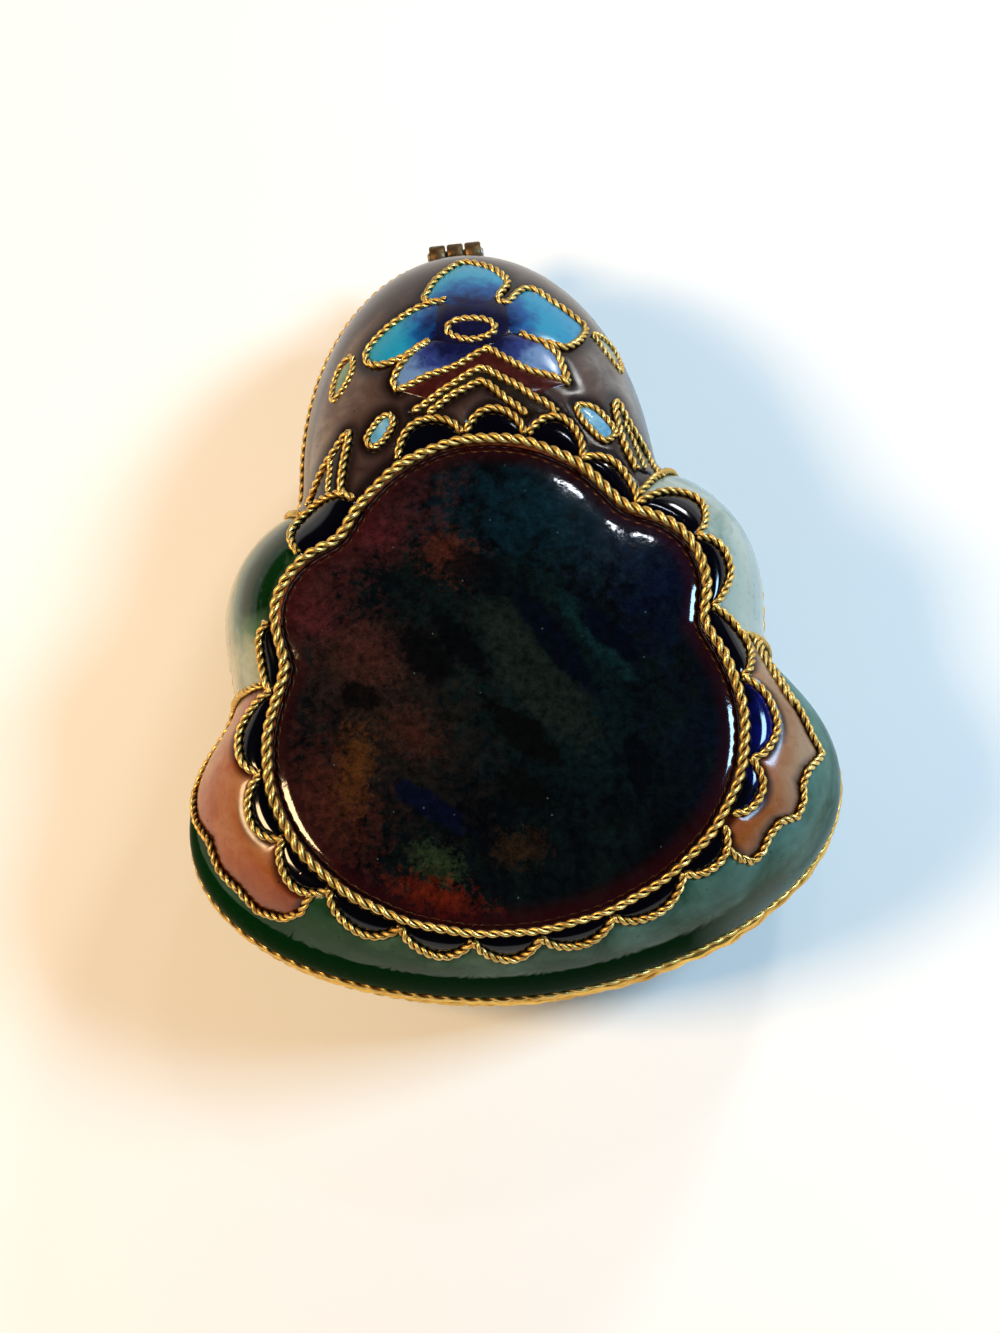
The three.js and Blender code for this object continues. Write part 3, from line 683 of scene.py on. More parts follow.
# Lid: copper under enamel fields. Turns are degrees round from the middle of the near side,
# to the right when positive.
lid = {
    "domeRows": 90,
    "fieldRows": 30,
    "cheekRows": 24,
    "cellRows": 8,
    "waistTurn": 96,
    "domeTurn": 138,
    "cheekStart": 47,
    "panelGap": 0.1,
    "columnTurn": 0.5,
    "fineColumnTurn": 0.25,
    "enamelDepth": 0.42,
    # glass beside a wire, its rise between the wires and the way that takes, in mm from the surface
    "pillow": (-0.14, 0.24, 0.55),
    "ropeEdge": 0.3,
    "scallopRound": 0.55,
    # first turn, last turn and reach in mm of each cell
    "scallops": [
        (-148.6, -129.5, 3.9), (-111.2, -94.0, 1.9), (-94.0, -74.7, 2.5), (-74.7, -59.5, 2.3),
        (-59.5, -44.6, 2.2), (-44.6, -27.3, 2.0), (-27.3, -11.5, 1.75), (-11.5, 3.0, 1.65),
        (3.0, 19.3, 1.5), (19.3, 37.0, 1.65), (37.0, 50.5, 1.8), (53.5, 66.2, 2.0),
        (66.2, 84.8, 2.55), (84.8, 103.6, 2.4), (103.6, 120.9, 2.2), (120.9, 136.7, 3.4),
        (136.7, 154.0, 2.15), (154.0, 167.6, 2.95), (168.2, 181.5, 2.6), (182.2, 197.9, 2.7),
    ],
    # turn and share of the way from the medallion to the rim
    "cheekLeft": [(47, 0.5), (49, 0.66), (54, 0.75), (59, 0.72), (64, 0.75), (69, 0.71), (74, 0.82),
                  (80, 0.9), (88, 0.945), (97, 0.95)],
    "cheekRight": [(47, 0.4), (48.5, 0.56), (51, 0.57), (54, 0.52), (57.5, 0.53), (60, 0.65), (63, 0.64),
                   (65.5, 0.58), (68.5, 0.61), (72.5, 0.74), (75, 0.66), (78, 0.62), (82, 0.57),
                   (86, 0.6), (92, 0.7), (97, 0.78)],
}


def scallopDepth(angle):
    turn = signedTurn(angle)
    depth = np.full_like(turn, lid["ropeEdge"])
    for first, last, reach in lid["scallops"]:
        for whole in (0, 360):
            share = (turn + whole - first) / (last - first)
            inside = (share > 0) & (share < 1)
            lobe = np.sin(np.clip(share, 0, 1) * math.pi) ** lid["scallopRound"]
            depth = np.where(inside, lid["ropeEdge"] + (reach - lid["ropeEdge"]) * lobe, depth)
    return depth


def scallopSlope(angle):
    return slopeAtDepth(angle, scallopDepth(angle))


def cheekSlope(angle):
    turn = signedTurn(angle)
    left = np.interp(-turn, *zip(*lid["cheekLeft"]))
    right = np.interp(turn, *zip(*lid["cheekRight"]))
    return np.arcsin(np.where(turn < 0, left, right))


def movedSlope(angle, slope, distance):
    return slope + distance / slopeScale(angle, slope)


def pillow(edge):
    # fired glass stands a little low beside a wire and swells between the wires
    low, rise, way = lid["pillow"]
    return low + rise * (1 - np.exp(-np.maximum(edge, 0) / way))


def fieldShape(startTurn, endTurn, upper, lower, rows, tone, gap=lid["panelGap"], wireSpots=None):
    columnTurn = lid["columnTurn"] if wireSpots is None else lid["fineColumnTurn"]
    count = max(5, int(round(abs(endTurn - startTurn) / columnTurn)) + 1)
    turns = np.linspace(startTurn, endTurn, count)
    radius = wallRadius(angleAt(turns))
    toSide = np.minimum(turns - startTurn, endTurn - turns) * degree * radius
    inset = gap / (radius * degree)
    angles = angleAt(np.clip(turns, startTurn + inset, endTurn - inset))
    high = upper(angles)
    low = np.maximum(lower(angles), high + 1e-4)
    share = (0.5 - 0.5 * np.cos(np.linspace(0, math.pi, rows)))[:, None]
    slopes = high + (low - high) * share
    grid = np.broadcast_to(angles, slopes.shape)
    scale = slopeScale(grid, slopes)
    edge = np.minimum((slopes - high) * scale, (low - slopes) * scale)
    edge = np.maximum(np.minimum(edge, toSide), 0)
    normal = lidNormal(grid, slopes)
    surface = lidPoint(grid, slopes)
    if wireSpots is not None:
        # the glass also runs low beside the wires that cross the field, and the tint darkens it there: a
        # burnt-in line and painted shade
        for row, points in enumerate(surface[..., :2] - (0, shiftY)):
            edge[row] = np.minimum(edge[row], np.linalg.norm(points[:, None] - wireSpots, axis=-1).min(1))
    shape = slab(surface + normal * pillow(edge)[..., None], surface - normal * lid["enamelDepth"])
    tones = tone(np.broadcast_to(turns, slopes.shape), slopes)
    return (*shape, np.tile(edge.ravel(), 2), np.tile(tones.ravel(), 2))


def rimEdge(angle):
    return np.full_like(angle, quarterTurn)


def scallopEdge(angle):
    return movedSlope(angle, scallopSlope(angle), lid["panelGap"])


def cheekEdge(angle):
    return movedSlope(angle, cheekSlope(angle), -lid["panelGap"])


def skirtEdge(angle):
    outer = np.where(np.abs(signedTurn(angle)) > lid["cheekStart"] - 0.2, cheekSlope(angle), 0)
    return movedSlope(angle, np.maximum(outer, scallopSlope(angle)), lid["panelGap"])


def skirtTone(turn, slope):
    # mid green, bluer and paler to the right, with a deep strip over the rim that dies out to the right
    strip = np.clip((slope / degree - 49 - 6 * np.abs(turn) / 60) / 2.5, 0, 1)
    strength = 0.7 - 0.55 * np.clip((turn - 20) / 35, 0, 1)
    drift = 0.08 * (1 - strip) * np.sin(slope * 4)
    return 0.52 + 0.26 * np.clip(turn / 80, -0.6, 1) - strength * strip + drift


def domeTone(turn, slope):
    # a painted sheen that makes the flanks pale, streaked down the slope, a darker far end, and a deep strip
    # over the rim that comes in to the left
    share = np.clip((slope / degree - 18) / 72, 0, 1)
    fromMiddle = turn - 180
    # painted reflection: the flanks, where the dome turns to the sides, are lightened
    flankSheen = np.exp(-((np.abs(fromMiddle) - 27) / 13) ** 2)
    streak = 0.07 * np.sin(fromMiddle * 0.4 + 3 * np.sin(slope * 3.1))
    streak += 0.03 * np.sin(fromMiddle * 1.3 + slope * 6)
    strip = np.clip((slope / degree - 50) / 4, 0, 1) * np.clip(fromMiddle / 16, 0, 1)
    return 0.3 + (0.42 * flankSheen + streak) * np.sin(share * math.pi) ** 0.8 - 0.12 * share - 0.5 * strip


def shoulderTone(turn, slope):
    # deep green at the upper corner by the dome on the left, even and paler on the right
    share = np.clip((np.abs(turn) - 104) / 16, 0, 1)
    if turn.min() < 0:
        return 0.62 - 0.75 * share * np.clip(1 - (slope / degree - 32) / 22, 0, 1) + 0.2 * np.sin(slope * 2)
    return 0.72 + 0.25 * np.sin(slope * 2) - 0.12 * share


def cheekTone(turn, slope):
    return 0.46 + 0.2 * (turn > 0) + 0.16 * np.sin(slope * 3 + turn * 0.08)


def scallopCell(first, last):
    # navy glass, clearly bluer beside the right waist and a little beside the left one
    middle = (first + last) / 2
    warmth = 0.42 * math.exp(-((middle - 72) / 22) ** 2) + 0.1 * math.exp(-((middle + 84) / 12) ** 2)
    return fieldShape(first, last, lambda angle: slopeAtDepth(angle, lid["ropeEdge"] - 0.1),
                      lambda angle: movedSlope(angle, scallopSlope(angle), -0.05), lid["cellRows"],
                      lambda turn, slope: 0.12 + warmth + 0.3 * (slope - slope.min()), 0.02)


def buildLid():
    seam = seamHeight + body["seamGap"] / 2
    slopes = np.linspace(0, quarterTurn, base["rows"])
    shellPieces("lid", lambda depth: [lidPoint(ringAngles, slope, -depth) for slope in slopes], seam)
    bandPiece("lid", seam, lidWallBase - 0.05)
    cells = [scallopCell(first, last) for first, last, _ in lid["scallops"]]
    joinedPiece("scallop_enamel", cells, "navyEnamel")
    dome, waist, start = lid["domeTurn"], lid["waistTurn"], lid["cheekStart"]
    fields = [("skirt_enamel", -waist, waist, skirtEdge, rimEdge, lid["fieldRows"], skirtTone,
               "skirtGreenEnamel")]
    for side, sign in (("left", -1), ("right", 1)):
        fields.append(("shoulder_enamel_" + side, *sorted((sign * waist, sign * dome)), scallopEdge, rimEdge,
                       lid["fieldRows"], shoulderTone, "sageEnamel"))
        fields.append(("cheek_enamel_" + side, *sorted((sign * start, sign * waist)), scallopEdge, cheekEdge,
                       lid["cheekRows"], cheekTone, "terracottaEnamel"))
    for name, *where, look in fields:
        joinedPiece(name, [fieldShape(*where)], look)


buildLid()
print("stage: lid fields")

wires = {
    # overall radius, length of one full turn of the two strands, height of the middle over the enamel
    "thin": {"radius": 0.325, "turn": 1.5, "lift": 0.12},
    "rope": {"radius": 0.435, "turn": 2.0, "lift": 0.32},
    "side": {"radius": 0.42, "turn": 1.8, "lift": 0.0},
    "fine": {"radius": 0.28, "turn": 1.2, "lift": 0.1},
    "rim": {"radius": 0.3, "turn": 2.6, "lift": 0.0},
    "sides": 8,
    "stepsPerTurn": 14,
    "wander": 0.035,
    "wanderLength": 5.3,
    "ropeSteps": 1440,
    # where the medallion's rope is sunk in the glass: share of the way round, reach and depth, and then
    # how much and how often its gauge wavers
    "ropeSunk": (0.02, 0.13, 0.26, 0.06, 17),
    "arcInset": 0.15,
    "startGap": 0.3,
    "endTurn": 0.5,
    # the cheek's second wire: its first turn, the turn from which it parts and the way that takes,
    # its distance from the first wire and what it parts by, in mm
    "cheekTwin": (80, 78, 16, 0.25, 0.9),
    # ropes on the rims: body, reach outside the wall and height over the seam in mm, kind, turns
    "rims": {
        "lidRimRope": ("lid", 0.0, 1.52, "rim", None),
        "baseRimRope": ("base", 0.0, -1.56, "rim", None),
        "domeRimRope": ("lid", 0.66, 1.0, "side", (-174, -140)),
    },
}


def unit(vectors):
    return vectors / np.maximum(np.linalg.norm(vectors, axis=-1, keepdims=True), 1e-9)


def runAlong(points):
    return np.concatenate([[0], np.cumsum(np.linalg.norm(np.diff(points, axis=0), axis=1))])


def valuesAt(marks, run, values):
    return np.stack([np.interp(marks, run, values[:, k]) for k in range(values.shape[1])], -1)


def resample(points, normals, step, closed):
    if closed:
        points = np.vstack([points, points[:1]])
        normals = np.vstack([normals, normals[:1]])
    run = runAlong(points)
    marks = np.linspace(0, run[-1], max(6, int(round(run[-1] / step))) + 1)
    if closed:
        marks = marks[:-1]
    return valuesAt(marks, run, points), unit(valuesAt(marks, run, normals)), marks, run[-1]


def heading(points, closed):
    if closed:
        return unit(np.roll(points, -1, 0) - np.roll(points, 1, 0))
    return unit(np.gradient(points, axis=0))


def twistedWire(points, normals, kind, closed=False, swell=None):
    # two round strands laid round each other along a line on the surface
    spec = wires[kind]
    path, up, marks, length = resample(points, normals, spec["turn"] / wires["stepsPerTurn"], closed)
    path = path + up * spec["lift"]
    across = unit(np.cross(heading(path, closed), up))
    turns = length / spec["turn"]
    if closed:
        turns = round(turns)
    # swell is the share of the radius along the line, where the wire is sunk in the glass
    thick = spec["radius"] * (np.ones(len(path)) if swell is None else swell(marks / length))
    waves = round(length / wires["wanderLength"] + 1)
    path = path + across * (wires["wander"] * np.sin(marks / length * 2 * math.pi * waves))[:, None]
    phase = 2 * math.pi * turns * marks / length
    around = np.linspace(0, 2 * math.pi, wires["sides"], endpoint=False)
    facing = 0.5 - 0.5 * np.cos(around)
    strands = []
    for start in (0, math.pi):
        outwards = np.cos(phase + start)[:, None] * up + np.sin(phase + start)[:, None] * across
        centre = path + outwards * thick[:, None] * 0.48
        strand = heading(centre, closed)
        beside = unit(np.cross(strand, outwards))
        above = unit(np.cross(beside, strand))
        rings = np.stack([centre + thick[:, None] * 0.54 * (math.cos(a) * above + math.sin(a) * beside)
                          for a in around], 1)
        points, faces = loft(rings, closed=closed)
        # the groove value is high on the sides of the strands that face each other and low down by the glass,
        # and the metal is darker there
        low = 0.5 - 0.5 * np.einsum("ijk,ik->ij", (rings - path[:, None]) / spec["radius"], up)
        groove = np.maximum(np.broadcast_to(facing, low.shape), low * 0.9).ravel()
        strands.append((points, faces, np.concatenate([groove, np.full(len(points) - len(groove), 0.5)])))
    return joined(strands)


def wirePiece(name, lines, kind, closed=False):
    # each line is its angles and slopes on the lid
    shapes = [twistedWire(lidPoint(*line), lidNormal(*line), kind, closed) for line in lines]
    joinedPiece(name, shapes, "giltWire")


def smoothLine(points, closed=False, steps=12):
    # Catmull-Rom through the points
    points = np.asarray(points, float)
    if closed:
        padded = np.vstack([points[-1:], points, points[:2]])
    else:
        padded = np.vstack([2 * points[0] - points[1], points, 2 * points[-1] - points[-2]])
    t = np.linspace(0, 1, steps, endpoint=False)[:, None]
    spans = [0.5 * (2 * b + (c - a) * t + (2 * a - 5 * b + 4 * c - d) * t ** 2
                    + (3 * b - a - 3 * c + d) * t ** 3)
             for a, b, c, d in zip(padded, padded[1:], padded[2:], padded[3:])]
    return np.vstack(spans if closed else spans + [points[-1:]])


def planLine(points, closed=False):
    # points in plan, joined by a smooth line
    return planStation(*smoothLine(points, closed).T)


def rimRope(name, owner, reach, rise, kind, turns):
    closed = turns is None
    turns = np.linspace(0, 360, wires["ropeSteps"], endpoint=False) if closed else np.linspace(*turns, 400)
    angles = angleAt(turns)
    line = polarPoint(angles, wallRadius(angles) + reach, seamHeight + rise)
    out = unit(np.stack([np.cos(angles), np.sin(angles), np.zeros_like(angles)], -1))
    points, faces, groove = twistedWire(line, out, kind, closed)
    fitPiece(name, (points, faces), "giltWire", owner, groove=groove * (0.2 if kind == "rim" else 1))


def medallionRope():
    angles = angleAt(np.linspace(0, 360, wires["ropeSteps"], endpoint=False))
    middle, reach, depth, waver, waves = wires["ropeSunk"]

    def swell(share):
        sunk = np.exp(-((np.mod(share + 0.5 - middle, 1) - 0.5) / reach) ** 2)
        return 1 - depth * sunk + waver * np.sin(share * 2 * math.pi * waves)

    up = np.tile((0.0, 0.0, 1.0), (len(angles), 1))
    return twistedWire(polarPoint(angles, medallionRadius(angles), lidTop), up, "rope", True, swell)


def buildFieldWires():
    inset, endTurn = wires["arcInset"], wires["endTurn"]
    arcs = [angleAt(np.linspace(first + inset, last - inset, 90)) for first, last, _ in lid["scallops"]]
    wirePiece("scallop_wire", [(angles, scallopSlope(angles)) for angles in arcs], "thin")
    joinedPiece("medallion_rope", [medallionRope()], "giltWire")
    firstTurn, partTurn, partWay, apart, parting = wires["cheekTwin"]
    for side, sign in (("left", -1), ("right", 1)):
        for node, turn in (("waist_wire_", lid["waistTurn"]), ("dome_edge_wire_", lid["domeTurn"])):
            angle = angleAt(sign * turn)
            start = float(movedSlope(angle, scallopSlope(angle), wires["startGap"]))
            slopes = np.linspace(start, quarterTurn - endTurn * degree, 60)
            wirePiece(node + side, [(np.full_like(slopes, angle), slopes)], "thin")
        turns = np.linspace(lid["cheekStart"] + endTurn, lid["waistTurn"] - endTurn, 260)
        angles = angleAt(sign * turns)
        outer = np.maximum(cheekSlope(angles), scallopSlope(angles))
        away = np.clip((turns - partTurn) / partWay, 0, 1) * parting
        twin = movedSlope(angles, outer, -apart - away)
        far = turns > firstTurn
        wirePiece("cheek_wire_" + side, [(angles, outer), (angles[far], twin[far])], "thin")
        angle = angleAt(sign * lid["cheekStart"])
        slopes = np.linspace(float(scallopSlope(angle)), float(cheekSlope(angles[0])), 30)
        wirePiece("cheekEndWire" + side.title(), [(np.full_like(slopes, angle), slopes)], "thin")
    for name, values in wires["rims"].items():
        rimRope(name, *values)


buildFieldWires()
print("stage: field wires")

medallion = {
    "rows": 60,
    "columns": 240,
    "inset": 0.4,
    "bulge": 1.2,
    "edgeDrop": 0.35,
    "edgeRound": 0.5,
    "ground": [(0.34, "#010204"), (0.5, "#04090c"), (0.62, "#07100f"), (0.76, "#0a1c1e")],
    # clouds sunk in the glass: middle in mm about the medallion's own, reach along and across in mm,
    # turn in degrees, depth, colour, size of the grain in mm
    "clouds": [
        ((2, 0), (17, 10), -58, 0.9, "#0b1917", 1.6),
        ((-8, -3), (11, 13), 0, 0.85, "#1c1713", 1.2),
        ((6, -3), (10, 11), 0, 0.8, "#061417", 0.8),
        ((5, 13), (13, 6.5), -10, 0.9, "#08222b", 1.6),
        ((12, 9), (9, 6), -40, 0.8, "#15212e", 0.8),
        ((15, 6), (8, 9), -60, 0.85, "#040c22", 2.0),
        ((17, -7), (7, 10), 0, 0.85, "#040c1a", 2.0),
        ((-14.5, 8), (7, 8), 0, 0.9, "#3a1b18", 0.8),
        ((-8, 13.5), (10, 4.6), 32, 0.85, "#3a1a19", 0.8),
        ((-14.5, -8.5), (6.5, 9), 12, 0.9, "#3c1b14", 0.9),
        ((-10.6, 2), (8, 6), 0, 0.6, "#2c1c16", 0.5),
        ((-2.7, 10.4), (4, 3), -43, 0.75, "#4a2013", 0.4),
        ((-10.2, 3.3), (5, 3.6), -52, 0.7, "#40201a", 0.4),
        ((-7.1, -3.5), (4.4, 3), -44, 0.7, "#3a1c13", 0.4),
        ((-11.8, -5.7), (6, 2.4), -103, 0.85, "#4c2c10", 0.5),
        ((-8.6, 13.3), (4, 2.2), -37, 0.8, "#43171b", 0.4),
        ((-14.3, 7.1), (3.6, 2.6), -52, 0.8, "#451b1d", 0.4),
        ((0.2, -13.4), (3.4, 2.2), 0, 0.65, "#2e1d0e", 0.5),
        ((-6.2, -13.8), (3.6, 2.2), -36, 0.75, "#2a3820", 0.4),
        ((-6.6, -16.3), (6, 2.1), -22, 1.0, "#5c1b0a", 0.7),
    ],
    # strokes with a clear edge, as the brush left them: the same values without the grain
    "strokes": [
        ((3.0, 0.1), (12, 4.2), -59, 0.75, "#161e18"),
        ((7.7, 2.8), (7.6, 1.7), -56, 0.7, "#0b2425"),
        ((4.7, 2.5), (8.4, 2.0), -60, 0.95, "#020610"),
        ((9.0, 2.6), (5.6, 1.7), -48, 0.95, "#020511"),
        ((-2.7, 3.2), (6.0, 1.8), -59, 0.95, "#030507"),
        ((1.5, -4.6), (6.6, 2.1), -48, 0.95, "#040504"),
        ((-5.3, 2.4), (4.6, 2.7), -43, 0.9, "#030405"),
        ((-6.2, -9.4), (5.6, 1.5), -38, 0.95, "#04081c"),
        ((10.0, -8.1), (5.0, 1.6), -85, 0.9, "#020509"),
        ((1.1, -8.9), (3.6, 2.3), -37, 0.9, "#040505"),
        ((-1.0, 9.1), (4.2, 2.5), -33, 0.85, "#04070a"),
        ((-10.8, -0.1), (2.8, 1.9), -24, 0.85, "#050404"),
    ],
    # share of the grain's own shape that place adds, and from where to where the tint comes in
    "cloudEdge": (0.34, 0.62, 0.86),
    "strokeEdge": (1.0, 0.9, 1.08),
    "rimTint": "#2c0508",
    "speckTint": "#6f8588",
}


def sinkCloud(add, place, glass, cloud, speckle, soft=True):
    # a soft cloud is mostly grain and fades outwards, a stroke is mostly its own shape
    middle, reach, turn, depth, tint = cloud
    weight, start, end = medallion["cloudEdge" if soft else "strokeEdge"]
    held = add("Mapping", vector_type="TEXTURE", Location=(middle[0] * mm, (middle[1] + shiftY) * mm, 0),
               Rotation=(0, 0, turn * degree), Scale=(reach[0] * mm, reach[1] * mm, 1), Vector=place)
    away = add("VectorMath", [held], operation="LENGTH")
    near = add("MapRange", range=(1.15, 0, 0, 1), Value=away)
    both = add("Math", [near, weight, speckle], operation="MULTIPLY_ADD")
    share = add("MapRange", range=(start, end, 0, depth), Value=both)
    if soft:
        inside = add("Math", [share, near], operation="MULTIPLY", use_clamp=True)
        share = add("Math", [inside, 0.5], operation="POWER")
    return add("Mix", {0: share, 6: glass, 7: colour(tint)}, data_type="RGBA")


def makeMedallionEnamel():
    # fired enamel over foil, ground smooth: near black, with sunk clouds of teal, rust and amber
    # that only show where the glass is thin
    material, add, place = newMaterial("medallionEnamel")

    def noise(size, roughness, distortion=0.0, where=place, **more):
        return add("TexNoise", Scale=perMillimetre(size), Detail=6.0, Roughness=roughness,
                   Distortion=distortion, Vector=where, **more)

    slant = add("Mapping", Rotation=(0, 0, 0.9), Scale=(1.0, 0.45, 1.0), Vector=place)
    drift = noise(3.5, 0.66, 0.4, slant)
    glass = add("ValToRGB", stops=medallion["ground"], Fac=drift)
    for count, (*cloud, grain) in enumerate(medallion["clouds"]):
        speckle = noise(grain, 0.68, 0.5, noise_dimensions="4D", W=1.7 * count)
        glass = sinkCloud(add, place, glass, cloud, speckle)
    bristle = noise(1.1, 0.7, 0.5)
    for cloud in medallion["strokes"]:
        glass = sinkCloud(add, place, glass, cloud, bristle, False)
    # grains of ground glass that fired a little lighter or darker
    brightness = add("MapRange", range=(0.36, 0.64, 0.25, 1.25), Value=noise(0.8, 0.8))
    mottled = add("HueSaturation", Value=brightness, Color=glass)
    edge = add("Attribute", attribute_name="edge").outputs["Fac"]
    rim = add("MapRange", interpolation_type="SMOOTHSTEP", range=(0.2, 2.2, 0.6, 0), Value=edge)
    rimmed = add("Mix", {0: rim, 6: mottled, 7: colour(medallion["rimTint"])}, data_type="RGBA")
    specks = add("TexVoronoi", Scale=perMillimetre(1.6), Vector=place)
    speck = add("MapRange", range=(0.02, 0.06, 0.35, 0), Value=specks)
    dusty = add("Mix", {0: speck, 6: rimmed, 7: colour(medallion["speckTint"])}, data_type="RGBA")
    peel = add("TexNoise", Scale=perMillimetre(1.2), Detail=4.0, Vector=place)
    bump = add("Bump", Strength=0.28, Distance=0.06 * mm, Height=peel)
    surface = add("BsdfPrincipled", {"Base Color": dusty}, IOR=1.5, Roughness=0.07, Normal=bump)
    add("OutputMaterial", Surface=surface)
    return material


looks["medallionEnamel"] = makeMedallionEnamel()
slots["medallionEnamel"] = "dark_enamel"


def buildMedallion():
    angles = angleAt(np.linspace(0, 360, medallion["columns"], endpoint=False))
    reach = medallionRadius(angles) - medallion["inset"]
    under = lidTop - body["shellOuter"] + 0.08
    rings = [polarPoint(angles, reach * share, under) for share in (0.3, 1)]
    edges = [np.zeros_like(reach)] * 2
    for share in np.sin(np.linspace(1, 0.04, medallion["rows"]) * quarterTurn):
        edges.append((1 - share) * reach)
        drop = medallion["edgeDrop"] * np.exp(-edges[-1] / medallion["edgeRound"])
        rings.append(polarPoint(angles, reach * share, lidTop + medallion["bulge"] * (1 - share ** 2) - drop))
    # the two fan middles come last: the underside's, then the top's
    edge = np.concatenate(edges + [[0.0, 9.0]])
    fitPiece("medallion_enamel", loft(rings), "medallionEnamel", edge=edge)


buildMedallion()
print("stage: medallion")

